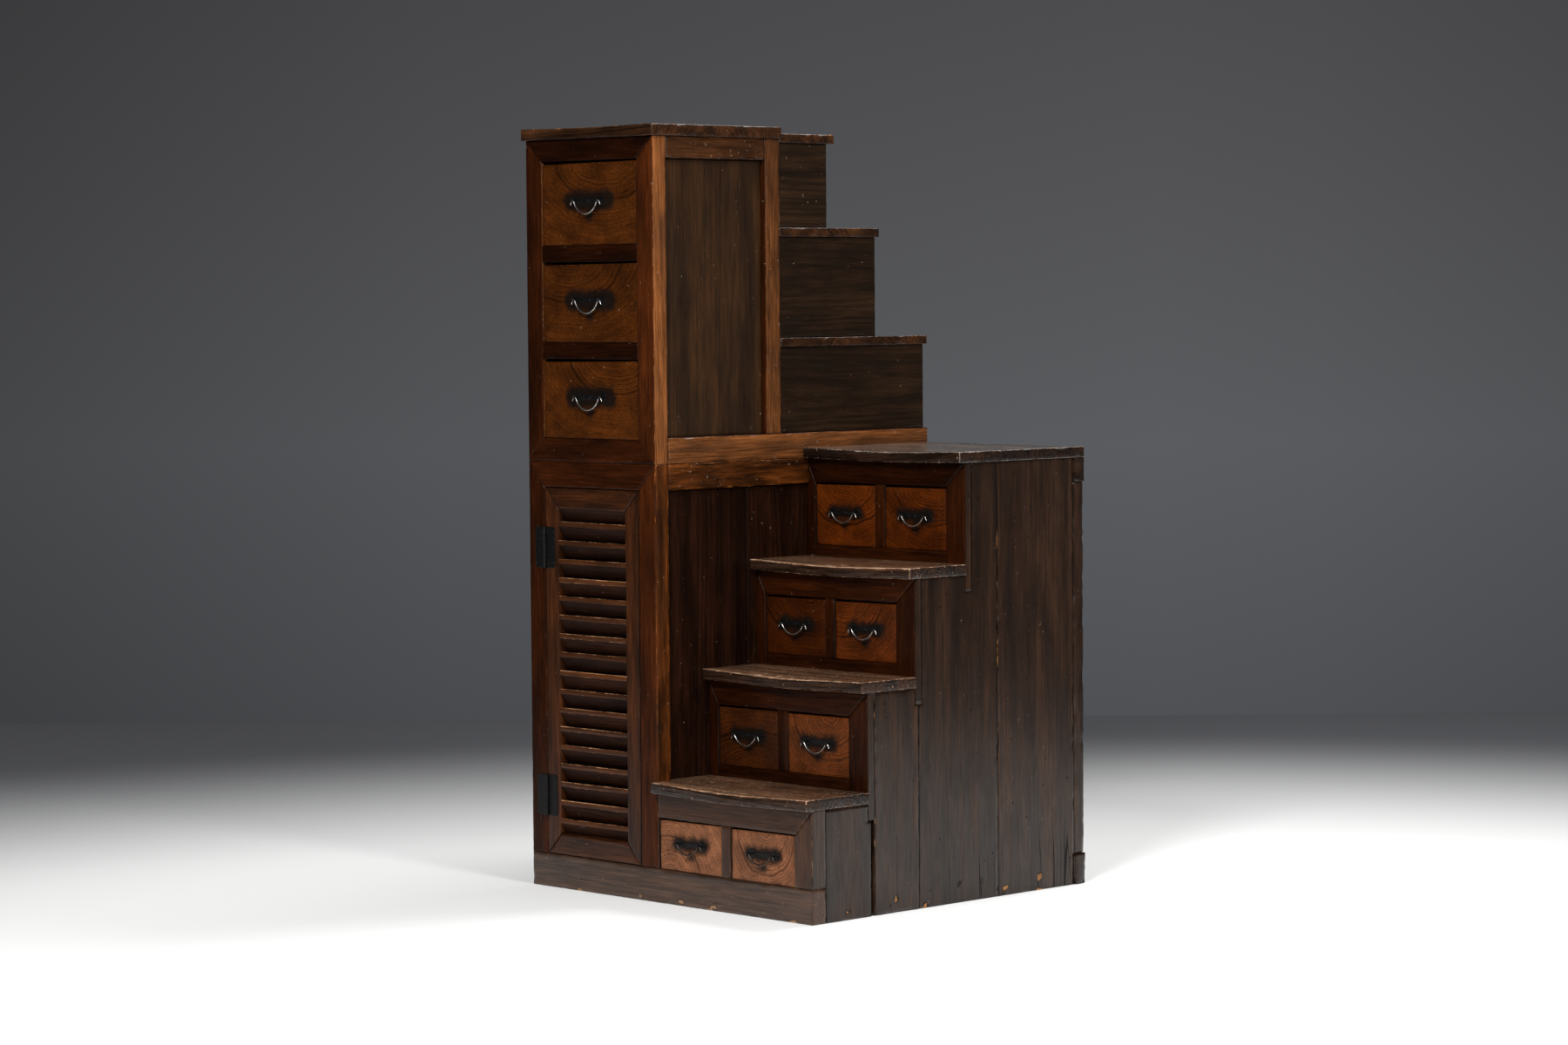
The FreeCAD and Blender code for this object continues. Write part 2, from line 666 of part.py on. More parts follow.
def handle_plate(kind):
    """Iron back plate with its two eye posts and its nail, in the bail's frame."""
    reach = f"{kind}_handle_spacing / 2"
    plate_y = less("handle_standoff", "handle_plate_thickness")
    eye_radius = total("bail_wire_radius", "eye_clearance", "eye_wire_radius")
    forward, along_y = (0, -1, 0), (0, 1, 0)
    bar = doc.addObject("Part::Box", "board")
    bar.Label = f"{kind} plate bar"
    bind(bar, "Length", f"{kind}_handle_spacing")
    bind(bar, "Width", "handle_plate_thickness")
    bind(bar, "Height", "handle_bar_height")
    for letter, formula in zip("xyz", (f"-({reach})", plate_y, "-handle_bar_height / 2")):
        bind(bar, f"Placement.Base.{letter}", formula)
    discs, posts = [], []
    for side in ("-", ""):
        x = f"{side}({reach})"
        discs.append(cylinder("plate disc", "handle_disc_radius", "handle_plate_thickness",
                              (x, plate_y, "0"), along_y))
        ring = doc.addObject("Part::Torus", "ring")
        ring.Label = "eye ring"
        bind(ring, "Radius1", eye_radius)
        bind(ring, "Radius2", "eye_wire_radius")
        ring.Placement.Rotation = FreeCAD.Rotation(FreeCAD.Vector(0, 0, 1), FreeCAD.Vector(1, 0, 0))
        bind(ring, "Placement.Base.x", x)
        shank_start = total("bail_wire_radius", "eye_clearance", "eye_wire_radius / 2")
        shank = cylinder("eye shank", "eye_shank_radius", less(plate_y, shank_start),
                         (x, shank_start, "0"), along_y)
        posts.append(fused("eye post", [ring, shank]))
    nail = cylinder("plate nail", "plate_nail_radius", "plate_nail_height", ("0", plate_y, "0"), forward)
    return [fused(f"{kind} plate", [bar] + discs)] + posts + [nail]


HANDLES = {}


def handle(name, kind, x, z, front):
    """One drawer's plate and bail, placed with the bail's axis in front of the drawer."""
    if kind not in HANDLES:
        HANDLES[kind] = (handle_plate(kind), [bail(kind)])
    middle = (f"(({x[0]}) + ({x[1]})) / 2", less(total(front, "drawer_setback"), "handle_standoff"),
              total(f"(({z[0]}) + ({z[1]})) / 2", "handle_raise"))
    for label, parts in zip((name + "_handle_plate", name + "_bail"), HANDLES[kind]):
        placed(node(label, parts), *middle)


def drawers():
    for style in STAIR_STYLES:
        for side, x in zip(("left", "right"), style["columns"]):
            name = f"{style['name']}_{side}_drawer"
            z = (style["sill"], style["head"])
            drawer(name, x, z, style["front"], BACK_FRAME_FRONT)
            handle(name, "stair", x, z, style["front"])
    opening = ("upper_stile_width", less("tower_width", "upper_stile_width"))
    for level_name, z in zip(("bottom", "middle", "top"), UPPER_OPENINGS):
        name = f"upper_{level_name}_drawer"
        drawer(name, opening, z, "0", less("upper_depth", "back_board_thickness"))
        handle(name, "upper", opening, z, "0")


# Louvred door with mitred corners, on two iron hinges

def door():
    x = (total("tower_post_width", "door_gap"), less("tower_width", "tower_post_width", "door_gap"))
    z = (total("plinth_height", "door_gap"), less(LOWER_TOP, "tower_rail_height", "door_gap"))
    y = ("0", "door_thickness")
    inner_x = (total(x[0], "door_stile_width"), less(x[1], "door_stile_width"))
    inner_z = (total(z[0], "door_rail_width"), less(z[1], "door_rail_width"))
    rails = [
        mitred_rail("door bottom rail", (z[0], inner_z[0]), x, inner_x, y),
        mitred_rail("door top rail", (inner_z[1], z[1]), inner_x, x, y),
    ]
    node("door_frame", [
        mitred_stile("door left stile", (x[0], inner_x[0]), z, inner_z, y),
        mitred_stile("door right stile", (inner_x[1], x[1]), inner_z, z, y),
    ] + rails)

    # The highest slat starts behind the top rail, and the rails trim the first and last slats.
    # Both shares are of the pitch.
    pitch = f"(({inner_z[1]}) - ({inner_z[0]})) / ({LOUVRE_COUNT} - {LOUVRE_LOST_SHARE})"
    slats = []
    for index in range(LOUVRE_COUNT):
        top = f"({inner_z[1]}) - ({pitch}) * {index - LOUVRE_HIDDEN_SHARE}"
        slat = doc.addObject("Part::Wedge", "slat")
        slat.Label = f"louvre {index + 1}"
        for low, high in (("Xmin", "Xmax"), ("X2min", "X2max")):
            bind(slat, low, inner_x[0])
            bind(slat, high, inner_x[1])
        bind(slat, "Ymin", "0")
        bind(slat, "Ymax", "louvre_depth")
        bind(slat, "Zmin", less(top, "louvre_face_height"))
        bind(slat, "Zmax", top)
        bind(slat, "Z2min", less(top, "louvre_face_height", "louvre_drop"))
        bind(slat, "Z2max", less(top, "louvre_drop"))
        placed(slat, "0", "0", "0")
        slats.append(slat)
    slats[0] = cut("highest louvre trimmed", slats[0], rails[1])
    slats[-1] = cut("lowest louvre trimmed", slats[-1], rails[0])
    node("door_louvres", slats)
    return x, z


def leaf(kind, outward, owned):
    """One hinge leaf in the hinge's frame: its pin line is Z, and the case's face is behind it.

    outward is "-" for the leaf on the case, which points to -X, and "" for the door's.
    owned are the knuckles that belong to this leaf.
    """
    pitch = f"hinge_length / {KNUCKLE_COUNT}"
    back = less("knuckle_radius", "leaf_thickness")
    inner = total("knuckle_radius", "knuckle_gap")

    def plate(label, x, z):
        box = doc.addObject("Part::Box", "board")
        box.Label = label
        bind(box, "Length", less(x[1], x[0]))
        bind(box, "Width", "leaf_thickness")
        bind(box, "Height", less(z[1], z[0]))
        bind(box, "Placement.Base.x", f"-({x[1]})" if outward else x[0])
        bind(box, "Placement.Base.y", back)
        bind(box, "Placement.Base.z", z[0])
        return box

    ends = ("leaf_corner_radius", less("hinge_length", "leaf_corner_radius"))
    corner = less("leaf_width", "leaf_corner_radius")
    parts = [plate("leaf plate", (inner, corner), ("0", "hinge_length")),
             plate("leaf edge", (corner, "leaf_width"), ends)]
    for z in ends:
        parts.append(cylinder("leaf corner", "leaf_corner_radius", "leaf_thickness",
                              (f"{outward}({corner})", back, z), (0, 1, 0)))
    for index in owned:
        span = (f"{pitch} * {index} + knuckle_gap / 2", f"{pitch} * {index + 1} - knuckle_gap / 2")
        parts.append(plate("leaf tab", ("0", inner), span))
        parts.append(cylinder("knuckle", "knuckle_radius", less(span[1], span[0]), ("0", "0", span[0]),
                              (0, 0, 1)))
    solid = fused(f"{kind} leaf", parts)
    bore = cylinder("bore", "pin_radius", "hinge_length", ("0", "0", "0"), (0, 0, 1))
    if kind == "case":
        solid = fused("case leaf with pin", [solid, bore])
    else:
        bind(bore, "Radius", total("pin_radius", "pin_clearance"))
        solid = cut("door leaf bored", solid, bore)
    nails = []
    for x in (total(inner, "hinge_nail_inset / 2"), less("leaf_width", "hinge_nail_inset / 2")):
        for z in ("hinge_nail_inset", less("hinge_length", "hinge_nail_inset")):
            nails.append(cylinder("hinge nail", "hinge_nail_radius", "hinge_nail_height",
                                  (f"{outward}({x})", back, z), (0, -1, 0)))
    return [solid] + nails


def hinges(door_x, door_z):
    pin_x = less(door_x[0], "door_gap / 2")
    levels = (total(door_z[0], "hinge_bottom_inset"),
              less(door_z[1], "hinge_top_inset", "hinge_length"))
    odd, even = range(1, KNUCKLE_COUNT, 2), range(0, KNUCKLE_COUNT, 2)
    for name, kind, outward, owned in (("case_hinge_leaves", "case", "-", even),
                                       ("door_hinge_leaves", "door", "", odd)):
        parts = leaf(kind, outward, owned)
        pair = []
        for level in levels:
            one = group(f"{kind} leaf and nails", parts)
            placed(one, pin_x, "-knuckle_radius", level)
            pair.append(one)
        node(name, pair)


lower_case()
lower_shelves()
stair()
stair_shelves()
upper_front()
upper_sides()
upper_steps()
upper_shelves()
drawers()
hinges(*door())
doc.recompute()

for item in doc.Objects:
    if {"Invalid", "Error"} & set(item.State):
        raise RuntimeError(f"{item.Label} failed: {item.State}")
os.makedirs("parts", exist_ok=True)
for item in NODES:
    if item.Shape.isNull() or not item.Shape.isValid():
        raise RuntimeError(f"{item.Label} has no valid shape")
for item in NODES:
    item.Shape.exportStep(f"parts/{item.Label}.step")
reach = Part.makeCompound([item.Shape for item in NODES]).BoundBox
print(len(NODES), "sub-parts; the chest's box is", reach)
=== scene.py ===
# %% [markdown]
# # A step chest with worn lacquer
# The chest is two wooden cases. The lower one is a louvred cabinet beside a stair full of drawers, and
# the upper one is a small drawer tower whose back climbs in steps.
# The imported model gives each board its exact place. This script gives the boards worn edges, grain and
# old lacquer, and gives the drawers their forged iron handles.

# %% Load the frame
import json
import math
from functools import partial
from itertools import product

import bmesh
import bpy
import numpy as np
from mathutils import Matrix, Vector, kdtree, noise


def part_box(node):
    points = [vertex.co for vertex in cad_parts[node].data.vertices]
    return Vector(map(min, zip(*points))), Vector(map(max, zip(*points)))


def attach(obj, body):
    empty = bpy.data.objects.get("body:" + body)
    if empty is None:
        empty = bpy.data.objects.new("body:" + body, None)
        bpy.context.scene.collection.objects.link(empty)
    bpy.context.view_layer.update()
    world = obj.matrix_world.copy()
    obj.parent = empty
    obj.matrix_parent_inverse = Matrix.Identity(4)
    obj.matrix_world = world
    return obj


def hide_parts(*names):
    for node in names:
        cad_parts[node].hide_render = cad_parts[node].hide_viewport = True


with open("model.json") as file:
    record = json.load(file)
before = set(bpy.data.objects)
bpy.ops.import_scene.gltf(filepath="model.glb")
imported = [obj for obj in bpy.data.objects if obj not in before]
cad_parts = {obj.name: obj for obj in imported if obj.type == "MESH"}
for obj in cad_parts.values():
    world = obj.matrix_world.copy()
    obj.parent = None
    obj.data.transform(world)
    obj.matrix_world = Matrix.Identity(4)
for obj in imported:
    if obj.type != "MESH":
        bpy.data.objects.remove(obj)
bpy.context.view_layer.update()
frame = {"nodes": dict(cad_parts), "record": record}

BODY_OF = {node: body for body, nodes in frame["record"]["behaviour"]["bodies"].items() for node in nodes}
MM = 0.001

# %% [markdown]
# ## A few small helpers
# Paint makers write colours as sRGB hex values, while the renderer adds up linear light, so one function
# turns the first into the second.
# A material or a Geometry Nodes tree is a list of nodes and links. One function adds a node of any kind,
# and its inputs follow in Blender's order, each as a number or as the node whose result it takes. So a
# tree reads like a recipe.

# %% Helpers for colours, nodes and objects
scene = bpy.context.scene
FAMILIES = ("ShaderNode", "GeometryNode", "FunctionNode", "Node")
SIGNS = {"+": "ADD", "-": "SUBTRACT", "*": "MULTIPLY", "/": "DIVIDE", "**": "POWER", "*+": "MULTIPLY_ADD",
         "<": "LESS_THAN", ">": "GREATER_THAN", "max": "MAXIMUM", "min": "MINIMUM", "abs": "ABSOLUTE"}


def colour(tone):
    """Linear red, green, blue and an alpha of 1, from an sRGB hex value or from a level of grey."""
    if isinstance(tone, float):
        return [tone] * 3 + [1.0]
    parts = [int(tone[i:i + 2], 16) / 255 for i in (1, 3, 5)]
    return [c / 12.92 if c <= 0.04045 else ((c + 0.055) / 1.055) ** 2.4 for c in parts] + [1.0]


def fill(node, values):
    """Set inputs by name or number. A node as a value stands for its first output in use."""
    for socket, value in values.items():
        if isinstance(value, bpy.types.Node):
            value = next(output for output in value.outputs if output.enabled)
        if isinstance(value, bpy.types.NodeSocket):
            node.id_data.links.new(value, node.inputs[socket])
        elif value is not None:
            node.inputs[socket].default_value = value


def add_node(tree, kind, *values, **settings):
    """Add a node with its settings, and its inputs in order or as a dict. None leaves an input alone.

    A word after the kind is its operation or data type, and a sign stands for a Math node.
    """
    kind, _, word = ("Math " + SIGNS[kind] if kind in SIGNS else kind).partition(" ")
    family = next(family for family in FAMILIES if hasattr(bpy.types, family + kind))
    node = tree.nodes.new(family + kind)
    if word:
        setattr(node, "operation" if hasattr(node, "operation") else "data_type", word)
    for name, value in settings.items():
        setattr(node, name, value)
    in_use = [number for number, socket in enumerate(node.inputs) if socket.enabled]
    by_name = len(values) == 1 and isinstance(values[0], dict)
    fill(node, values[0] if by_name else dict(zip(in_use, values)))
    return node


def set_stops(node, stops):
    """Give a colour ramp its stops. Those at 0 and 1 come first, because it has them already."""
    elements = node.color_ramp.elements
    for place, tone in stops.items():
        element = elements[place] if place in (0, 1) else elements.new(place)
        element.color = colour(tone)


def new_material(name):
    """A material, its shader and a way to add nodes to it."""
    material = bpy.data.materials.new(name)
    material.use_nodes = True
    return material, material.node_tree.nodes["Principled BSDF"], partial(add_node, material.node_tree)


def put(name, data):
    """Put an object into the scene, at the origin."""
    item = bpy.data.objects.new(name, data)
    scene.collection.objects.link(item)
    return item


print("linear value of mid grey:", round(colour("#808080")[0], 3))

# %% [markdown]
# ## Camera
# The camera stands at eye height, well to the right, so that the front of the drawers and the side of the
# stair are seen at about the same slant. A long lens keeps the upright lines upright. Place, turn and lens
# follow from the chest's own corners in the photograph.

# %% Camera
CAMERA_PLACE = (7.1496, -7.0020, 1.4574)
YAW, PITCH, ROLL = (math.radians(angle) for angle in (45.845, -3.2546, -0.4212))
FOCAL_PIXELS, PHOTO_WIDTH, SENSOR = 4713.35, 1800, 36
ahead = Vector((-math.sin(YAW) * math.cos(PITCH), math.cos(YAW) * math.cos(PITCH), math.sin(PITCH)))
right = Vector((math.cos(YAW), math.sin(YAW), 0))
up = right.cross(ahead)
axes = (right * math.cos(ROLL) + up * math.sin(ROLL), up * math.cos(ROLL) - right * math.sin(ROLL), -ahead)
lens = bpy.data.cameras.new("camera")
lens.sensor_width = SENSOR
lens.lens = FOCAL_PIXELS / PHOTO_WIDTH * SENSOR
lens.clip_end = 200
camera = put("camera", lens)
camera.matrix_world = Matrix.Translation(CAMERA_PLACE) @ Matrix(axes).transposed().to_4x4()
scene.camera = camera
print("lens of", round(lens.lens, 1), "mm")

# %% [markdown]
# ## Floor and light
# Dark polished wood shows mostly what it mirrors, so the room matters as much as the lamps.
# The floor is pale and fades to grey, a pool of light and its fall-off painted into its colour, so the
# lowest boards mirror bright floor and the highest ones the dark room. The grey wall is a colour that
# only the camera and the reflections see, and adds no light. Its lighter band and darker sides are
# painted light and shade.

# %% Floor, wall and lamps
scene.view_settings.view_transform = "Standard"
FLOOR_BEHIND, FLOOR_AHEAD, FLOOR_SIDE = 3.9, 9.0, 9.0
PAINTED_LIGHT_CENTRE, FADE_START, FADE_END = (2.0, -1.25, 0), 2.6, 5.8
ROOM_LIGHT = 0.30
CHEST_MIDDLE = (0, 0, 0.9)


def floor_with_painted_light():
    """A floor whose far edge lies square to the camera's view, as the foot of the wall does."""
    turn = Matrix.Rotation(YAW, 3, "Z")
    corners = [(-FLOOR_SIDE, -FLOOR_AHEAD, 0), (FLOOR_SIDE, -FLOOR_AHEAD, 0),
               (FLOOR_SIDE, FLOOR_BEHIND, 0), (-FLOOR_SIDE, FLOOR_BEHIND, 0)]
    mesh = bpy.data.meshes.new("floor")
    mesh.from_pydata([turn @ Vector(corner) for corner in corners], [], [(0, 1, 2, 3)])
    paint, shader, add = new_material("matt floor paint with a painted pool of light")
    # The pale middle and the grey fall-off round it are a painted pool of light.
    gap = add("VectorMath DISTANCE", add("TexCoord").outputs["Object"], PAINTED_LIGHT_CENTRE)
    share = add("MapRange", gap, FADE_START, FADE_END, interpolation_type="SMOOTHSTEP")
    painted_light_falloff = add("Mix RGBA", share, colour("#f8f8f7"), colour("#55565a"))
    fill(shader, {"Base Color": painted_light_falloff, "Roughness": 0.7})
    mesh.materials.append(paint)
    floor = put("floor", mesh)


def studio_world():
    """A grey wall with painted shade, darkest at its sides, and an even light that has nothing to do with
    it.
    """
    world = bpy.data.worlds.new("studio")
    world.use_nodes = True
    scene.world = world
    world.node_tree.nodes.clear()
    add = partial(add_node, world.node_tree)
    place = add("TexCoord").outputs["Generated"]
    height = add("SeparateXYZ", place).outputs["Z"]
    # The wall's colour is painted light and shade: a lighter band at mid height, darker towards the sides.
    shade = add("ValToRGB", add("MapRange", height, -0.11, 0.08))
    set_stops(shade, {0: "#4f5053", 1: "#4b4b4d", 0.38: "#5b5c5f", 0.75: "#525254"})
    side = add("VectorMath DOT_PRODUCT", place, (math.cos(YAW), math.sin(YAW), 0))
    painted_side_shade = add("ValToRGB", add("MapRange", side, -0.19, 0.19))
    set_stops(painted_side_shade, {0: 0.58, 1: 0.82, 0.17: 0.73, 0.28: 0.83, 0.5: 0.93, 0.74: 1.0, 0.84: 0.96})
    wall = add("Background", add("VectorMath MULTIPLY", shade, painted_side_shade))
    light = add("Background", colour("#ffffff"), ROOM_LIGHT)
    rays = add("LightPath").outputs
    seen = add("max", rays["Is Camera Ray"], rays["Is Glossy Ray"])
    add("OutputWorld", add("MixShader", seen, light, wall))


def lamp(name, place, target, size, power):
    light = bpy.data.lights.new(name, "AREA")
    light.shape, light.size, light.energy = "DISK", size, power
    item = put(name, light)
    item.location = place
    item.rotation_euler = (Vector(target) - Vector(place)).to_track_quat("-Z", "Y").to_euler()


floor_with_painted_light()
studio_world()
lamp("front_lamp", (2.6, -4.6, 4.6), CHEST_MIDDLE, 1.5, 330)
lamp("right_lamp", (5.0, -1.0, 3.2), CHEST_MIDDLE, 1.2, 135)
lamp("top_lamp", (0.3, 2.2, 4.6), (0.1, 0.0, 0.9), 2.0, 130)
print(len(bpy.data.lights), "lamps and a pale floor")

# %% [markdown]
# ## Boards from the frame
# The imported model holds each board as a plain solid. A board's triangles close before the next board
# starts, which tells the boards of one node apart.
# Real boards have softened arrises and dents, so each board is built again on a grid: close lines near the
# arrises, where the wear is, and wide ones in the middle.

# %% Read the boards of a node


def boards(node):
    """Each board of a CAD node as its corner points and its triangles."""
    mesh = frame["nodes"][node].data
    corner = [tuple(round(c, 6) for c in v.co) for v in mesh.vertices]
    found, open_edges, triangles = [], set(), []
    for face in mesh.polygons:
        ring = [corner[i] for i in face.vertices]
        triangles.append(ring)
        for edge in zip(ring, ring[1:] + ring[:1]):
            if edge[::-1] in open_edges:
                open_edges.remove(edge[::-1])
            else:
                open_edges.add(edge)
        if not open_edges:
            points = sorted({point for ring in triangles for point in ring})
            found.append((np.array(points), triangles))
            triangles = []
    return found


print("boards in the upper front frame:", len(boards("upper_front_frame")))

# %% [markdown]
# ## A grid over each board
# Nearly every board here is a block with six flat sides, square or mitred, so a straight grid can be
# stretched between its eight corners. A board with notches has square corners all round, so its grid has
# lines at every notch, and only the cells that hold wood are kept.

# %% Grid lines and corners
ARRIS, WORN_BAND = 1.6 * MM, 9 * MM


def grid_lines(length, step):
    """Places along one side: close together at both ends and step apart between them."""
    arris, band = min(ARRIS, length / 5), min(WORN_BAND, length / 3)
    count = max(1, round((length - 2 * band) / step))
    return np.unique([0, arris, *np.linspace(band, length - band, count + 1), length - arris, length])


def eight_corners(points):
    """The corners of a six-sided block, indexed by left or right, front or back, low or high."""
    tries = []
    for free in range(3):
        others = [axis for axis in range(3) if axis != free]
        halves = points[:, others] > points[:, others].mean(axis=0)
        groups = [points[(halves == side).all(axis=1)] for side in product((0, 1), repeat=2)]
        if all(len(group) == 2 for group in groups):
            pairs = np.array([group[np.argsort(group[:, free])] for group in groups])
            spread = sum(np.ptp(group[:, others], axis=0).sum() for group in groups)
            tries.append((spread, free, np.moveaxis(pairs.reshape(2, 2, 2, 3), 2, free)))
    return min(tries)[2]


# %% [markdown]
# ## Which cells hold wood
# A line from inside the wood crosses the board's skin an odd number of times. The outer faces of the cells
# that pass this test are the new skin of the board.

# %% Skin over the cells
OFF_THE_SEAMS = 0.37 * MM


def skin(kept):
    """Quads round the kept cells, as grid indices, with their outward side (axis and sign)."""
    quads, sides = [], []
    for a in range(3):
        b, c = (a + 1) % 3, (a + 2) % 3
        padded = np.pad(kept, 1).astype(int).transpose(a, b, c)
        change = (padded[1:] - padded[:-1])[:, 1:-1, 1:-1]
        for value in (1, -1):
            i, j, k = np.nonzero(change == value)
            ring = [np.stack([i, j + dj, k + dk], axis=1) for dj, dk in ((0, 0), (1, 0), (1, 1), (0, 1))]
            if value == 1:
                ring.reverse()
            quads.append(np.stack(ring, axis=1)[:, :, np.argsort([a, b, c])])
            sides.append(np.full(len(i), 2 * a + (value == -1)))
    return np.concatenate(quads), np.concatenate(sides)


def holds_wood(centre, triangles):
    """Whether a line along X from this point crosses the skin an odd number of times."""
    y, z = centre[1], centre[2]
    crossings = 0
    for p, q, r in triangles:
        area = (q[1] - p[1]) * (r[2] - p[2]) - (r[1] - p[1]) * (q[2] - p[2])
        if abs(area) < 1e-12:
            continue
        u = ((y - p[1]) * (r[2] - p[2]) - (r[1] - p[1]) * (z - p[2])) / area
        v = ((q[1] - p[1]) * (z - p[2]) - (y - p[1]) * (q[2] - p[2])) / area
        if u > 0 and v > 0 and u + v < 1 and p[0] + u * (q[0] - p[0]) + v * (r[0] - p[0]) > centre[0]:
            crossings += 1
    return crossings % 2 == 1


def board_grid(points, triangles, step):
    """Grid points, quads and the side that each quad belongs to, for one board."""
    plain = len(points) == 8
    if plain:
        corners = eight_corners(points)
        lengths = [np.linalg.norm(corners.take(1, axis) - corners.take(0, axis), axis=-1).mean()
                   for axis in range(3)]
        lines = [grid_lines(length, step) / length for length in lengths]
        kept = np.ones([len(line) - 1 for line in lines], bool)
    else:
        lines, owner, middles = [], [], []
        for stops in (np.unique(points[:, axis]) for axis in range(3)):
            spans = [low + grid_lines(high - low, step) for low, high in zip(stops, stops[1:])]
            line = np.unique(np.round(np.concatenate(spans), 7))
            lines.append(line)
            owner.append(np.searchsorted(stops, (line[1:] + line[:-1]) / 2) - 1)
            middles.append((stops[1:] + stops[:-1]) / 2)
        coarse = [holds_wood((x, y + OFF_THE_SEAMS, z + 2 * OFF_THE_SEAMS), triangles)
                  for x, y, z in product(*middles)]
        kept = np.reshape(coarse, [len(middle) for middle in middles])[np.ix_(*owner)]
    quads, sides = skin(kept)
    keys, index = np.unique(quads.reshape(-1, 3), axis=0, return_inverse=True)
    place = np.stack([lines[axis][keys[:, axis]] for axis in range(3)], axis=1)
    if plain:
        x, y, z = (place[:, axis, None] for axis in range(3))
        edges = [[corners[i, j, 0] * (1 - z) + corners[i, j, 1] * z for j in (0, 1)] for i in (0, 1)]
        faces = [edges[i][0] * (1 - y) + edges[i][1] * y for i in (0, 1)]
        place = faces[0] * (1 - x) + faces[1] * x
    return place, index.reshape(-1, 4), sides


for points, triangles in boards("landing_board"):
    place, quads, _ = board_grid(points, triangles, 40 * MM)
    print("landing board:", len(place), "points,", len(quads), "quads")

# %% [markdown]
# ## Wear and grain
# An arris wears round first and then chips, deeper where something knocks it. Here each point near an
# arris moves into the wood by an amount that a noise gives, so no two edges look alike and nothing grows
# past the board's real size.
# Grain is a solid thing: year rings are long cones around the heart of the tree. Each point stores where
# it lies in its own log, and the material draws the rings from that place, so a face, an edge and an end
# of the same board agree with each other.

# %% Wear one board and place it in its log
HEART_DEPTH = 60 * MM
CHIPS_PER_METRE, WAVES_PER_METRE = 38, 7


def side_normals(place, quads, sides):
    """For each point, the outward direction of each of the board's six sides that it lies on."""
    a, b, c, d = (place[quads[:, i]] for i in range(4))
    normal = np.cross(c - a, d - b)
    normal /= np.linalg.norm(normal, axis=1, keepdims=True)
    total = np.zeros((len(place), 6, 3))
    for corner in range(4):
        np.add.at(total, (quads[:, corner], sides), normal)
    size = np.linalg.norm(total, axis=2, keepdims=True)
    return np.divide(total, size, out=np.zeros_like(total), where=size > 1e-9)


def closeness_to_arris(place, on_arris):
    """1 on an arris, falling evenly to 0 at the width of the worn band."""
    tree = kdtree.KDTree(int(on_arris.sum()))
    for number, point in enumerate(place[on_arris]):
        tree.insert(point, number)
    tree.balance()
    gap = np.array([tree.find(point)[2] for point in place])
    return np.clip(1 - gap / WORN_BAND, 0, 1)


def worn_board(place, quads, sides, wear, warp, random):
    """Round and chip the arrises and let the faces wander a little, always into the wood."""
    normals = side_normals(place, quads, sides)
    count = (np.linalg.norm(normals, axis=2) > 0.5).sum(axis=1)
    inward = -normals.sum(axis=1)
    rim = closeness_to_arris(place, count > 1)
    arris = min(ARRIS, np.ptp(place, axis=0).min() / 5)
    round_off = np.choose(np.clip(count, 1, 3) - 1, [0, 1 - math.sqrt(1 / 2), 1 - math.sqrt(1 / 3)])
    shift = Vector(random.uniform(-50, 50, 3))
    chips = np.array([max(0, noise.fractal(Vector(p) * CHIPS_PER_METRE + shift, 0.8, 2.2, 4) - 0.05)
                      for p in place])
    waves = np.array([0.5 + 0.5 * noise.noise(Vector(p) * WAVES_PER_METRE + shift) for p in place])
    depth = arris * round_off + wear * rim ** 2 * chips + warp * waves * 0.5
    return place + inward * depth[:, None], rim


def log_place(place, box, figure, random, along=None):
    """Where each point lies in its log: along the trunk, then across and into it from the heart."""
    size = box[1] - box[0]
    order = list(np.argsort(-size))
    if along is not None:
        order.remove(along)
        order.insert(0, along)
    centred = place - (box[0] + box[1]) / 2
    trunk, across, deep = (centred[:, axis] for axis in order)
    if figure is None:
        heart = (random.uniform(-0.3, 0.3) * size[order[1]], HEART_DEPTH * random.uniform(0.5, 1.6))
        tilt = random.uniform(-0.05, 0.05)
        start = random.uniform(-4, 4)
    else:
        start, heart, tilt = figure
    return np.stack([trunk + start, across - heart[0], deep + heart[1] + tilt * trunk], axis=1)


print("arris", ARRIS / MM, "mm, worn band", WORN_BAND / MM, "mm")

# %% [markdown]
# ## One piece for each node
# The boards of a node stay one piece, as they are one joined frame or one set of boards on the real
# chest. The piece stands for its CAD node, rides on the node's body and takes the finish given for it.

# %% Dress a node
SEED = 20
TRIANGLES = {}


def attribute(mesh, name, values):
    """Store a number or a vector for each point of a mesh."""
    values = np.asarray(values, np.float32)
    kind, field = ("FLOAT_VECTOR", "vector") if values.ndim > 1 else ("FLOAT", "value")
    mesh.attributes.new(name, kind, "POINT").data.foreach_set(field, values.ravel())


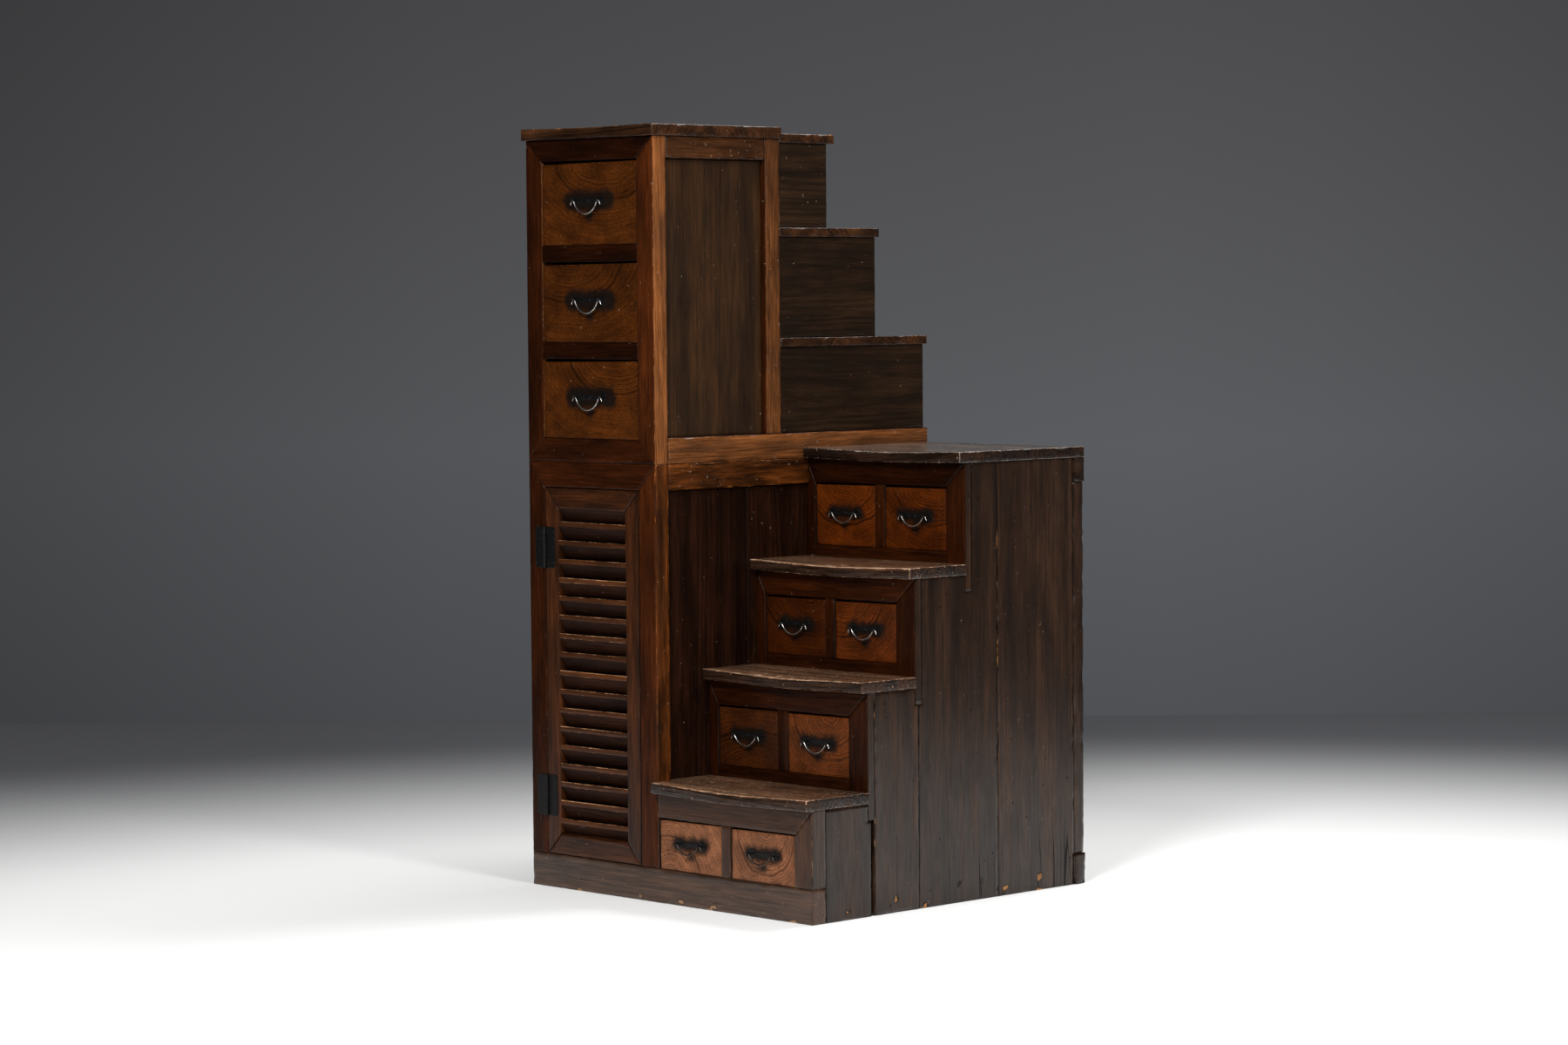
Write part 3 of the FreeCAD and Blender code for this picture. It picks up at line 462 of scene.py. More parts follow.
def wooden_mesh(name, found, finish, step, wear, warp, along=None, figures=None, reshape=None, tones=None,
                side_finish=None, sides_with_it=2):
    """One mesh of worn boards, with each point's place in its log, its closeness to an arris and its tone.

    tones gives a board's tone from its box. side_finish is for its faces to the left and right, and
    with sides_with_it at 4 for those to the front and back as well. Mitred ends keep the finish.
    """
    random = np.random.default_rng([SEED, *name.encode()])
    rows, start = [], 0
    for number, (points, triangles) in enumerate(found):
        place, quads, sides = board_grid(points, triangles, step)
        box = (points.min(axis=0), points.max(axis=0))
        log = log_place(place, box, figures(number) if figures else None, random, along)
        place, rim = worn_board(place, quads, sides, wear, warp, random)
        if reshape:
            place, rim = reshape(place, box, rim)
        tone = random.uniform()
        diagonals = place[quads[:, 2:]] - place[quads[:, :2]]
        normal = np.cross(diagonals[:, 0], diagonals[:, 1])
        square = np.abs(normal[np.arange(len(quads)), sides // 2]) > 0.9 * np.linalg.norm(normal, axis=1)
        rows.append((place, quads + start, log, rim, np.full(len(place), tones(box) if tones else tone),
                     (sides < sides_with_it) & square))
        start += len(place)
    places, faces, logs, rims, board_tones, turned = (np.concatenate(column) for column in zip(*rows))
    mesh = bpy.data.meshes.new(name)
    mesh.from_pydata(places.tolist(), [], faces.tolist())
    mesh.shade_smooth()
    for label, values in (("log", logs), ("rim", rims), ("tone", board_tones)):
        attribute(mesh, label, values)
    mesh.materials.append(finish)
    if side_finish:
        mesh.materials.append(side_finish)
        mesh.polygons.foreach_set("material_index", turned.astype(np.int32))
    mesh.update()
    return mesh


def stand_for(mesh, node, name):
    """Put a finished mesh into the scene in place of a CAD node."""
    piece = put(name, mesh)
    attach(piece, BODY_OF[node])
    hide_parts(node)
    TRIANGLES[name] = sum(len(face.vertices) - 2 for face in mesh.polygons)


print("seed", SEED)

# %% [markdown]
# ## What all the woods share
# A wood finish is layers, as on the real chest: rings and fibres, a stain that sinks in unevenly, and a
# thin lacquer that feet and hands rub through at the arrises. One node group works these out as plain
# numbers, and each finish gives them its colours.
# The noises are drawn out along the log, so each has its waves per metre along, across and into it.
# Fibres are about 5 mm wide, because at this distance a picture element is 2 to 4 mm.

# %% The timber group
TIMBER_SIZES = {"Ring width": 6 * MM, "Warp": 6 * MM, "Ring reach": 1.0, "Rub": 0.5, "Softness": 0.17,
                "Knocks": 0.0}
DRAWN_OUT_NOISES = (("drift", (4, 15, 15), 2, 0.5), ("fibre", (10, 210, 210), 4, 0.7),
                    ("band", (1.2, 24, 24), 3, 0.5), ("stain", (6, 20, 20), 5, 0.6),
                    ("ragged", (26, 85, 85), 6, 0.75))
RUB_LEVEL = 1.45


def timber_group():
    tree = bpy.data.node_groups.new("timber", "ShaderNodeTree")
    add = partial(add_node, tree)
    for name, value in TIMBER_SIZES.items():
        tree.interface.new_socket(name, in_out="INPUT", socket_type="NodeSocketFloat").default_value = value
    for name in ("Ring", "Fibre", "Band", "Blotch", "Rubbed", "Speck", "Tone", "Groove"):
        tree.interface.new_socket(name, in_out="OUTPUT", socket_type="NodeSocketFloat")
    given = add("GroupInput").outputs
    log = add("Attribute", attribute_name="log").outputs["Vector"]
    rim, tone = (add("Attribute", attribute_name=name).outputs["Fac"] for name in ("rim", "tone"))
    noises = {name: add("TexNoise", add("VectorMath MULTIPLY", log, scale), 1.0, detail, roughness)
              for name, scale, detail, roughness in DRAWN_OUT_NOISES}

    # Year rings: how far a point is from the heart of the log, bent by a slow noise.
    centred = add("VectorMath SUBTRACT", noises["drift"].outputs["Color"], (0.5, 0.5, 0.5))
    bent = add("VectorMath ADD", log, add("VectorMath SCALE", centred, given["Warp"]))
    radius = add("VectorMath LENGTH", add("VectorMath MULTIPLY", bent, (0, 1, 1)))
    years = add("/", radius, given["Ring width"])
    seasons = add("TexNoise", years, 0.45, 1.0, noise_dimensions="1D")
    uneven = add("*+", seasons, 2.2, years)
    ring = add("ValToRGB", add("Math FRACT", uneven))
    set_stops(ring, {0: 0.4, 1: 0.4, 0.12: 0.0, 0.55: 0.15, 0.86: 1.0})
    strength = add("MapRange", noises["drift"], 0.35, 0.6, 0.5)
    far = add("MapRange", radius, 0.0, given["Ring reach"], 1.0, 0.3)
    faded = add("*", ring, add("*", strength, far))

    # Hands and feet rub the arrises, raggedly, and knocks leave pale spots.
    reach = add("*+", rim, 0.5, noises["ragged"])
    handled = add("MapRange", tone, 0.0, 1.0, -0.06, 0.06)
    hand = add("+", add("+", reach, handled), given["Rub"])
    full = add("+", given["Softness"], RUB_LEVEL)
    knocks = add("TexNoise", log, 110.0, 2.0)
    struck = add("+", knocks, given["Knocks"])
    shares = {label: add("MapRange", source, low, high) for label, source, low, high in (
        ("Fibre", noises["fibre"], 0.35, 0.65), ("Band", noises["band"], 0.36, 0.64),
        ("Blotch", noises["stain"], 0.38, 0.64), ("Rubbed", hand, RUB_LEVEL, full),
        ("Speck", struck, 0.73, 0.78), ("Groove", rim, 0.62, 0.97))}
    add("GroupOutput", {"Ring": faded, "Tone": tone, **shares})
    return tree


TIMBER = timber_group()
print("timber group with", len(TIMBER.nodes), "nodes")

# %% [markdown]
# ## A wood finish
# Five colours make a finish: soft wood, the hard line of a year ring, a darker stain, the wood that shows
# where the lacquer is rubbed, and the pale spots of old knocks.
# The lacquer is a thin clear coat. It has sunk into the fibres, so its shine comes and goes with the
# grain. Near every arris colour and shine are darkened, partly for grime in the joints and partly as
# painted shade in the seams between boards.

# %% Build a wood finish
OLD_KNOCKS, KNOCK_SHARE = "#8a7868", 0.5
PORE_DEPTH = 0.5 * MM
COAT_SHARE, UNDER_COAT_SHARE = 1.4, 0.3


def wood_finish(name, colours, ring_width=6.5, warp=6, reach=1000, figure=0.6, fibre=0.35, band=0.25,
                stain_share=0.6, tone=0.25, grime_and_seam_shade=0.5, rub=0.5, softness=0.17, knocks=0.0, gloss=0.25,
                relief=0.3, mirror=0.35, streaks=0.2):
    """A lacquered wood. Widths are in mm, shares go from 0 to 1 and gloss is the lacquer's roughness.

    How strongly the lacquer shines is mirror, and streaks is how far that comes and goes with the grain.
    """
    soft, hard, stain, bare, speck = (colour(tone) for tone in [*colours.split(), OLD_KNOCKS][:5])
    finish, shader, add = new_material(name)
    wood = add("Group", {"Ring width": ring_width * MM, "Warp": warp * MM, "Ring reach": reach * MM,
                         "Rub": rub, "Softness": softness, "Knocks": knocks}, node_tree=TIMBER).outputs
    grain = add("Mix RGBA", add("*", wood["Ring"], figure), soft, hard)
    stained = add("Mix RGBA", add("*", wood["Blotch"], stain_share), grain, stain)
    # Darker near every arris: grime in the joints, and painted shade in the seams.
    grime_and_seam_shade_level = add("MapRange", wood["Groove"], 0.0, 1.0, 1.0, 1 - grime_and_seam_shade)
    shade = grime_and_seam_shade_level
    for share, amount in (("Fibre", fibre), ("Band", band), ("Tone", tone)):
        level = add("MapRange", wood[share], 0.0, 1.0, 1 - amount, 1 + amount)
        shade = add("*", shade, level)
    toned = add("VectorMath SCALE", stained, shade)
    worn = add("Mix RGBA", wood["Rubbed"], toned, bare)
    surface = add("Mix RGBA", add("*", wood["Speck"], KNOCK_SHARE), worn, speck)
    surface.name = "surface colour"

    dull = add("MapRange", wood["Rubbed"], 0.0, 1.0, gloss, min(1.0, gloss + 0.25))
    height = add("*+", wood["Fibre"], 0.7, wood["Ring"])
    pores = add("Bump", {"Height": height, "Strength": relief, "Distance": PORE_DEPTH})
    coat, sway = COAT_SHARE * mirror, 0.6 * streaks
    shine = add("MapRange", wood["Fibre"], 0.0, 1.0, coat * (1 - streaks), coat * (1 + streaks))
    for share in ("Band", "Ring"):
        shine = add("*", shine, add("MapRange", wood[share], 0.0, 1.0, 1 + sway, 1 - sway))
    shine = add("*", shine, grime_and_seam_shade_level, use_clamp=True)
    shine.name = "lacquer shine"
    fill(shader, {"Base Color": surface, "Roughness": add("*+", wood["Blotch"], 0.1, dull),
                  "Normal": pores, "Coat Weight": shine, "Coat Normal": pores,
                  "Coat Roughness": gloss + 0.05, "Specular IOR Level": UNDER_COAT_SHARE * mirror})
    return finish


# %% [markdown]
# ## The finishes of this chest
# A dark red-brown lacquer on the front frames. The same lacquer, rubbed orange, on the side of the upper
# case. Softwood stained nearly black for the panels, grey-brown for the side of the stair, and plain
# boards inside. The colours stand in the order given above.

# %% Make the finishes
FINISH = {
    "front frame": wood_finish(
        "red brown lacquer on frame wood", "#351605 #1e0a02 #0f0501 #8a4f1c", figure=0.5, fibre=0.4,
        grime_and_seam_shade=0.1, rub=0.31, tone=0.65, mirror=0.09),
    "step frame": wood_finish(
        "dusty red brown lacquer", "#372012 #24150a #1b0f08 #8a6a4c", figure=0.4, fibre=0.3, grime_and_seam_shade=0.4,
        rub=0.43, gloss=0.3, tone=0.2, mirror=0.27),
    "plinth": wood_finish(
        "foot worn brown lacquer", "#4c3322 #342218 #281a10 #9a7450", fibre=0.45, grime_and_seam_shade=0.3, rub=0.45,
        gloss=0.28, tone=0.1, knocks=0.02, mirror=0.41),
    "side frame": wood_finish(
        "rubbed orange lacquer on frame wood", "#633919 #3a1e0c #28160a #a0652f", fibre=0.45, band=0.28,
        softness=0.34, tone=0.7, knocks=0.04, relief=0.8, mirror=0.26, streaks=0.5),
    "tower side": wood_finish(
        "red brown lacquer on the tower's side", "#50280b #2a1304 #140802 #a8662a", fibre=0.5, band=0.45,
        stain_share=0.9, rub=0.49, softness=0.25, tone=0.3, knocks=0.03, relief=0.8, mirror=0.16),
    "dark panel": wood_finish(
        "near black lacquer on softwood", "#3a2412 #20130a #170f08 #4a3324 #8a8070", figure=0.45,
        fibre=0.25, band=0.3, rub=0.3, ring_width=12, mirror=0.3),
    "red panel": wood_finish(
        "dark red lacquer on softwood", "#261209 #0f0703 #090402 #4a3324", figure=0.9, fibre=0.4,
        band=0.4, rub=0.3, ring_width=11, mirror=0.12),
    "step panel": wood_finish(
        "black lacquer on softwood", "#2b1b0e #140d06 #100a05 #3c2c1e", figure=0.8, fibre=0.3, rub=0.35,
        ring_width=13, mirror=0.22),
    "tread": wood_finish(
        "walked on dark lacquer", "#7c5a42 #3e2c1e #2e2017 #dcb494 #e0c4a8", figure=0.8, fibre=0.7,
        band=0.5, grime_and_seam_shade=0.0, rub=0.57, softness=0.25, gloss=0.16, ring_width=8, knocks=0.10, relief=0.8,
        mirror=0.95, streaks=0.6),
    "tread edge": wood_finish(
        "foot worn lacquer on tread edges", "#2e1d13 #170e08 #100a06 #b89070 #a08468", figure=0.9,
        fibre=0.6, band=0.5, grime_and_seam_shade=0.0, rub=0.55, softness=0.16, gloss=0.22, ring_width=7, knocks=0.04,
        relief=0.8, mirror=0.26, streaks=0.7),
    # The landing's paler, greyer colours are partly wear and partly painted light and painted reflection.
    "landing top": wood_finish(
        "worn grey brown lacquer on the landing", "#78675a #3c3028 #2e251f #e0ccbc #e0d4c8", figure=0.9,
        fibre=0.8, band=0.6, grime_and_seam_shade=0.0, rub=0.55, softness=0.25, gloss=0.16, ring_width=8, knocks=0.10,
        relief=0.8, mirror=1.0, streaks=0.5),
    "top board": wood_finish(
        "brown lacquer on the top board", "#44291a #20120a #180e08 #7c5233", figure=0.9, fibre=0.4,
        band=0.4, grime_and_seam_shade=0.0, rub=0.46, softness=0.35, gloss=0.2, ring_width=12, knocks=0.04, relief=0.5),
    "top edge": wood_finish(
        "dark lacquer on the top's edge", "#3a210f #190d06 #100804 #a0642f", figure=0.9, fibre=0.5,
        band=0.5, grime_and_seam_shade=0.0, rub=0.58, softness=0.2, ring_width=8, relief=0.5, mirror=0.2),
    "side board": wood_finish(
        "grey brown lacquer on side boards", "#2a1c13 #402a1b #180f0a #96683e #7a6450", figure=0.4,
        fibre=0.3, band=0.4, grime_and_seam_shade=0.8, rub=0.40, softness=0.2, gloss=0.14, ring_width=15, mirror=0.33,
        streaks=0.22),
    "inside": wood_finish(
        "bare softwood inside", "#6f5840 #533c26 #4c3b28 #7d664a", figure=0.5, fibre=0.25, rub=0.3,
        gloss=0.6, ring_width=7, tone=0.1),
    "door": wood_finish(
        "brown lacquer on the door", "#42210c #240f05 #180b04 #8a5a2c", figure=0.5, fibre=0.45, band=0.4,
        grime_and_seam_shade=0.6, rub=0.36, tone=0.2, mirror=0.2),
    # The slats' pale arris lines are partly worn lacquer and partly painted highlights.
    "louvre": wood_finish(
        "brown lacquer on the slats", "#4a260d #2e1707 #1e1006 #c09068", figure=0.4, band=0.3, grime_and_seam_shade=0.0,
        rub=0.60, softness=0.15, gloss=0.3, mirror=0.2),
    # Faces turned downwards get this darker finish, which is painted shade.
    "slat underside": wood_finish(
        "dark lacquer under the slats, as painted shade", "#2a140a #1a0c05 #140904 #4a2c18", figure=0.4, fibre=0.3,
        band=0.3, grime_and_seam_shade=0.0, rub=0.3, gloss=0.5, mirror=0.06),
}
print(len(FINISH), "wood finishes")

# %% [markdown]
# ## Zelkova fronts and the soot round their pulls
# The drawer fronts are zelkova with wide rings, in another tone for each row; the lowest row is also
# painted paler for the light from the pale floor.
# Years of sooty hands have left a black, soft-edged stain round each pull: a blob at each eye, a band
# between them and a smaller blob where the hanging bail touches the wood.
# The stain is a distance to that shape, roughened with noise. Each front stores where it lies from its
# own pull, so one finish serves every drawer of a row.

# %% Drawer finishes
DRAWER_COLOURS_AND_FLOOR_LIGHT = {
    "upper": "#472206 #130701 #1d0c02 #7c5020", "landing": "#5c2806 #140701 #200c02 #7c481c",
    "step_3": "#522408 #120601 #1c0b02 #7c481c", "step_2": "#54290e #160902 #210f05 #7c481c",
    # The step_1 row is painted much paler, for the light that the pale floor throws up on it.
    "step_1": "#8a593c #3a2012 #4c2f1e #a88064"}
DRAWER_FINISH = {}
SOOT = "#120d0a"
LOW_BLOB, SOOT_ROUGHNESS = 12 * MM, 26 * MM


def add_soot(finish, half_spacing, drop, blob, band):
    """Darken a drawer finish round its pull. Lengths are in mm, from the middle of the pull."""
    nodes = finish.node_tree.nodes
    add = partial(add_node, finish.node_tree)
    pull, log = (add("Attribute", attribute_name=name).outputs["Vector"] for name in ("pull", "log"))
    parts = add("SeparateXYZ", pull).outputs
    side = add("abs", parts["X"])
    past = add("max", add("-", side, half_spacing * MM), 0.0)
    reach = add("MapRange", side, half_spacing * 0.45 * MM, half_spacing * MM, band * MM, blob * MM,
                interpolation_type="SMOOTHSTEP")
    gap = add("VectorMath LENGTH", add("CombineXYZ", past, parts["Z"]))
    low = add("VectorMath DISTANCE", pull, (0, LOW_BLOB, -(drop + 4) * MM))
    nearer = add("min", add("-", gap, reach), add("-", low, LOW_BLOB))
    ragged = add("*+", add("TexNoise", log, 45.0, 5.0, 0.6), SOOT_ROUGHNESS, nearer)
    soot = add("MapRange", ragged, 4 * MM, 24 * MM, 0.95, 0.0, interpolation_type="SMOOTHSTEP")
    sooty = add("Mix RGBA", soot, nodes["surface colour"], colour(SOOT))
    fill(nodes["Principled BSDF"], {"Base Color": sooty})


for row, colours in DRAWER_COLOURS_AND_FLOOR_LIGHT.items():
    DRAWER_FINISH[row] = wood_finish(
        "zelkova under clear brown lacquer, " + row, colours, figure=1.0, fibre=0.3, grime_and_seam_shade=0.2, rub=0.39,
        ring_width=6.4, warp=22, reach=380, stain_share=0.3, tone=0.45, gloss=0.28, mirror=0.10)
    add_soot(DRAWER_FINISH[row], *((66, 31, 25, 24) if row == "upper" else (44, 24, 19, 17)))
print("soot on", len(DRAWER_FINISH), "drawer finishes")

# %% [markdown]
# ## Cracks in the side of the stair
# These boards stand on a damp floor and have split along the grain near their feet, most of all at the
# back. A split is drawn where a noise that is stretched along the board passes one level. Insects and old
# nails left small dark holes, which are the few cells of a pattern whose middle lies on the surface.
# Neither has lacquer left, so both lose their shine.

# %% Add the cracks
CRACK_DARK, CRACK_WIDTH = "#0b0806", 0.008


def add_cracks(finish):
    nodes = finish.node_tree.nodes
    add = partial(add_node, finish.node_tree)
    place = add("TexCoord").outputs["Object"]
    wander = add("TexNoise", add("VectorMath MULTIPLY", place, (20, 20, 0.8)), 1.0, 2.0)
    near = add("abs", add("-", wander, 0.5))
    parts = add("SeparateXYZ", place).outputs
    low = add("MapRange", parts["Z"], 0.08, 0.28, 1.0, 0.0)
    back = add("MapRange", parts["Y"], -0.10, 0.22)
    width = add("*", add("*", low, back), CRACK_WIDTH)
    split = add("MapRange", add("-", width, near), 0.0, CRACK_WIDTH / 2)
    hole = add("MapRange", add("TexVoronoi", place, 24.0), 0.05, 0.08, 1.0, 0.0)
    dark = add("max", split, hole)
    cracked = add("Mix RGBA", dark, nodes["surface colour"], colour(CRACK_DARK))
    shine = add("*", nodes["lacquer shine"], add("-", 1.0, dark))
    fill(nodes["Principled BSDF"], {"Base Color": cracked, "Coat Weight": shine})


FINISH["split side board"] = FINISH["side board"].copy()
FINISH["split side board"].name = "split lacquer on side boards"
add_cracks(FINISH["split side board"])
print("cracks added to", FINISH["split side board"].name)

# %% [markdown]
# ## Dress the two cases
# Each node gets its finish, how close its grid lines are, how deep in mm its arrises are chipped, and
# what is its own: the finish at its sides, its tones, its shape, or the axis of its grain.

# %% The two cases
FINE, PLAIN, HIDDEN = 10 * MM, 16 * MM, 60 * MM
PLAIN_WARP = 0.5 * MM


def front_tone_and_light(box):
    """Painted light and wear make the right stile the brightest; the top rails are the darkest."""
    (x, _, z), size = (box[0] + box[1]) / 2, box[1] - box[0]
    if size[2] > size[0]:
        return 0.95 if x > -0.15 else 0.35
    return 0.52 if z < 1.2 else 0.05


def side_tone(box):
    """The front stile is brighter than the back one, and the top rail is the darkest."""
    (_, y, z), size = (box[0] + box[1]) / 2, box[1] - box[0]
    if size[2] > size[1]:
        return 1.0 if y < -0.3 else 0.4
    return 0.62 if z < 1.3 else 0.08


def foot_worn(place, box, rim):
    """Brooms and feet rub the foot of a board in patches, and hands and drawers its front edge."""
    reach = 60 * MM if box[1][0] - box[0][0] < 0.1 else 22 * MM
    low = np.clip(1 - place[:, 2] / reach, 0, 1) ** 0.4
    patches = np.array([noise.noise(Vector(p) * 30 + Vector((3, 7, 1))) for p in place])
    brushed = 2.0 * low * np.clip(6 * patches - 2.4, 0, 1)
    streaks = np.array([noise.noise(Vector((p[0] * 60, p[1] * 60, p[2] * 14))) for p in place])
    front = (place[:, 1] < box[0][1] + 2 * MM) * (place[:, 2] > 90 * MM)
    return place, np.maximum(np.maximum(rim, brushed), front * np.clip(0.75 + 0.9 * streaks, 0, 1.1))


def dress(node, finish, step, wear, side=None, **how):
    mesh = wooden_mesh(node, boards(node), FINISH[finish], step, wear * MM, PLAIN_WARP,
                       side_finish=FINISH.get(side), **how)
    stand_for(mesh, node, node + "_wood")


for nodes, finish, step, wear, how in (
        ("base_plinth", "plinth", FINE, 2.5, {"reshape": foot_worn}),
        ("tower_frame", "front frame", FINE, 1.8, {"side": "tower side", "tones": front_tone_and_light}),
        ("step_1_frame", "step frame", FINE, 0.9, {"side": "side board"}),
        ("step_2_frame", "front frame", FINE, 0.9, {"side": "side board", "tones": lambda box: 0.27}),
        ("step_3_frame", "front frame", FINE, 0.9, {"side": "side board", "tones": lambda box: 0.33}),
        ("landing_frame", "front frame", FINE, 0.9, {"side": "side board"}),
        ("upper_front_frame", "front frame", FINE, 0.9, {"side": "side frame", "tones": front_tone_and_light}),
        # The side frames' front and back faces take the darker front frame lacquer: unrubbed lacquer, and
        # painted shade in the panel's recess.
        ("upper_side_frames", "front frame", FINE, 2.4, {"side": "side frame", "tones": side_tone}),
        ("back_frame", "side board", FINE, 6.0, {}),
        ("tower_side_boards", "red panel", PLAIN, 1.0, {"along": 2}),
        ("upper_side_panels", "dark panel", PLAIN, 0.5, {"along": 2}),
        ("upper_step_panels", "step panel", PLAIN, 1.4, {"along": 1}),
        ("upper_back_boards", "dark panel", PLAIN, 1.4, {}),
        ("lower_left_boards lower_back_boards", "split side board", PLAIN, 1.6, {"along": 2}),
        ("stair_side_boards", "split side board", FINE, 2.2, {"along": 2, "reshape": foot_worn}),
        ("lower_shelf_boards stair_drawer_shelves upper_drawer_shelves", "inside", HIDDEN, 1.0, {}),
        ("door_frame", "door", FINE, 1.0, {})):
    for node in nodes.split():
        dress(node, finish, step, wear, **how)
print(len(TRIANGLES), "nodes dressed,", sum(TRIANGLES.values()), "triangles")

# %% [markdown]
# ## Treads that feet have shaped
# Each tread is hollow where people stepped, and its front edge is battered and hangs lowest near the
# middle. Both shapes only take wood away or let the free front edge sink.

# %% The treads and the top board
FOOT_HOLLOW, EDGE_SAG, EDGE_BITE = 2.5 * MM, 4.5 * MM, 2.4 * MM
TREAD_STEP, TREAD_WEAR = 7 * MM, 1.6


def trodden(place, box, rim, outward, sag):
    """Hollow a tread and bite into its leading edge, which lies outward (-1 or 1) along Y."""
    size = box[1] - box[0]
    edge = box[1][1] if outward > 0 else box[0][1]
    gap = (edge - place[:, 1]) * outward
    span = np.clip((place[:, 0] - box[0][0]) / size[0], 0, 1)
    height = np.clip((place[:, 2] - box[0][2]) / size[2], 0, 1)
    swell = np.sin(np.pi * span) ** 1.5
    hollow = FOOT_HOLLOW * swell * np.clip(1 - gap / (0.8 * size[1]), 0, 1) * height
    near_edge = np.clip(1 - gap / (45 * MM), 0, 1) ** 2
    shift = Vector((box[0][0] * 31, box[0][1] * 17, box[0][2] * 23))
    bite = np.array([max(0, noise.fractal(Vector((p[0] * 30, p[1] * 30, p[2] * 40)) + shift, 0.6, 2.3, 4)
                         + 0.15) for p in place])
    worn = place.copy()
    worn[:, 2] -= hollow + sag * swell * near_edge
    worn[:, 1] -= outward * EDGE_BITE * bite * np.clip(1 - gap / (10 * MM), 0, 1) * (0.4 + 0.6 * height)
    trodden_share = np.clip(1 - gap / (0.75 * size[1]), 0, 1) * (0.35 + 0.65 * swell) * height
    foot_side = 0.2 + 0.8 * height ** 3 * np.clip(1 - gap / (0.9 * size[1]), 0, 1)
    return worn, np.maximum(rim * foot_side, 0.75 * trodden_share * (height > 0.9))


for node, finish, edge, outward, sag in (
        ("stair_treads", "tread", "tread edge", -1, EDGE_SAG),
        ("landing_board", "landing top", "tread edge", -1, 0.8 * EDGE_SAG),
        ("upper_treads", "top board", "top edge", 1, 0.5 * EDGE_SAG),
        ("upper_top_board", "top board", "top edge", -1, 0)):
    dress(node, finish, TREAD_STEP, TREAD_WEAR, side=edge, along=0, sides_with_it=4,
          reshape=partial(trodden, outward=outward, sag=sag))
print("treads dressed,", sum(TRIANGLES.values()), "triangles")

# %% [markdown]
# ## Drawers
# The fronts are the show wood. Their rings are cut so slantwise that they close into arches and ovals, so
# each front gets the place where the heart of its log comes nearest, in shares from its lower left corner.
# Then come how slantwise the rings run and how pale the drawer is.

# %% The drawers
HEARTS = {
    "upper_top_drawer": (0.62, 1.10, 0.62, 0.5), "upper_middle_drawer": (0.25, 1.12, 0.60, 0.4),
    "upper_bottom_drawer": (0.72, 1.15, 0.65, 0.6), "step_1_left_drawer": (0.10, -0.25, 1.00, 0.4),
    "step_1_right_drawer": (0.50, 1.10, 1.15, 0.35), "step_2_left_drawer": (0.60, -0.15, 0.50, 0.0),
    "step_2_right_drawer": (0.65, 1.05, 0.90, 0.9), "step_3_left_drawer": (0.65, 1.15, 0.70, 0.0),
    "step_3_right_drawer": (0.10, 1.20, 0.85, 0.6), "landing_left_drawer": (0.45, 1.10, 0.80, 0.45),
    "landing_right_drawer": (0.75, 1.15, 0.80, 0.1)}
DRAWER_WEAR, DRAWER_WARP = 1.2 * MM, 0.6 * MM
EYE_STANDOFF = 12 * MM
PULL_PLACE = {}


def front_figure(name, size):
    """How a drawer front lies in its log, so that its rings close round the chosen place."""
    across, up, slant, _ = HEARTS[name]
    heart = ((up - 0.5) * size[2], -slant * ((across - 0.5) * size[0]))
    return 3.0 + 0.7 * len(name), heart, slant


def sunken_top(place, box, rim, wedge):
    """Plane the front's top edge off slantwise, so that the gap over an old drawer is a wedge."""
    share = (place - box[0]) / (box[1] - box[0])
    sunk = place.copy()
    sunk[:, 2] -= wedge * share[:, 2] * (1 - 0.75 * share[:, 0])
    return sunk, rim


for drawer in HEARTS:
    found = boards(drawer)
    figure = front_figure(drawer, np.ptp(found[0][0], axis=0))
    row = drawer.rsplit("_", 2)[0]
    wedge = 4.5 * MM if row == "upper" else 2.5 * MM
    mesh = wooden_mesh(drawer, found, DRAWER_FINISH[row], FINE, DRAWER_WEAR, DRAWER_WARP,
                       figures=lambda number: figure if number == 0 else None,
                       tones=lambda box: HEARTS[drawer][3], reshape=partial(sunken_top, wedge=wedge))
    low, high = (Vector(corner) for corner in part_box(drawer + "_handle_plate"))
    pivot = Vector(((low.x + high.x) / 2, high.y - EYE_STANDOFF, (low.z + high.z) / 2))
    PULL_PLACE[drawer] = pivot
    attribute(mesh, "pull", [vertex.co - pivot for vertex in mesh.vertices])
    stand_for(mesh, drawer, drawer + "_wood")
print("pull of the top drawer at", [round(c, 4) for c in PULL_PLACE["upper_top_drawer"]])

# %% [markdown]
# ## Shapes that follow a rule
# Slats, nails and bent wire repeat or follow a line, which is what Geometry Nodes are for. Each tree has
# named sizes. These helpers start a tree, finish its shape, and let Blender work it out once and keep the
# result as a plain mesh, so that no modifier is left on the finished piece.

# %% Geometry Nodes helpers


def geometry_tree(name, **sizes):
    """A tree, a way to add nodes to it, and its inputs: a shape and sizes, listed by their type."""
    tree = bpy.data.node_groups.new(name, "GeometryNodeTree")
    for side in ("INPUT", "OUTPUT"):
        tree.interface.new_socket("Shape", in_out=side, socket_type="NodeSocketGeometry")
    for kind, labels in sizes.items():
        for label in labels.split(", "):
            tree.interface.new_socket(label, in_out="INPUT", socket_type="NodeSocket" + kind)
    add = partial(add_node, tree)
    return tree, add, add("GroupInput").outputs


def finished(add, shape, keen_angle, finish):
    """Smooth all but the keen edges of a shape and give it its finish."""
    keen = add(">", add("InputMeshEdgeAngle"), keen_angle)
    crisp = add("SetShadeSmooth", add("SetShadeSmooth", shape), keen, False, domain="EDGE")
    return add("SetMaterial", crisp, None, finish)


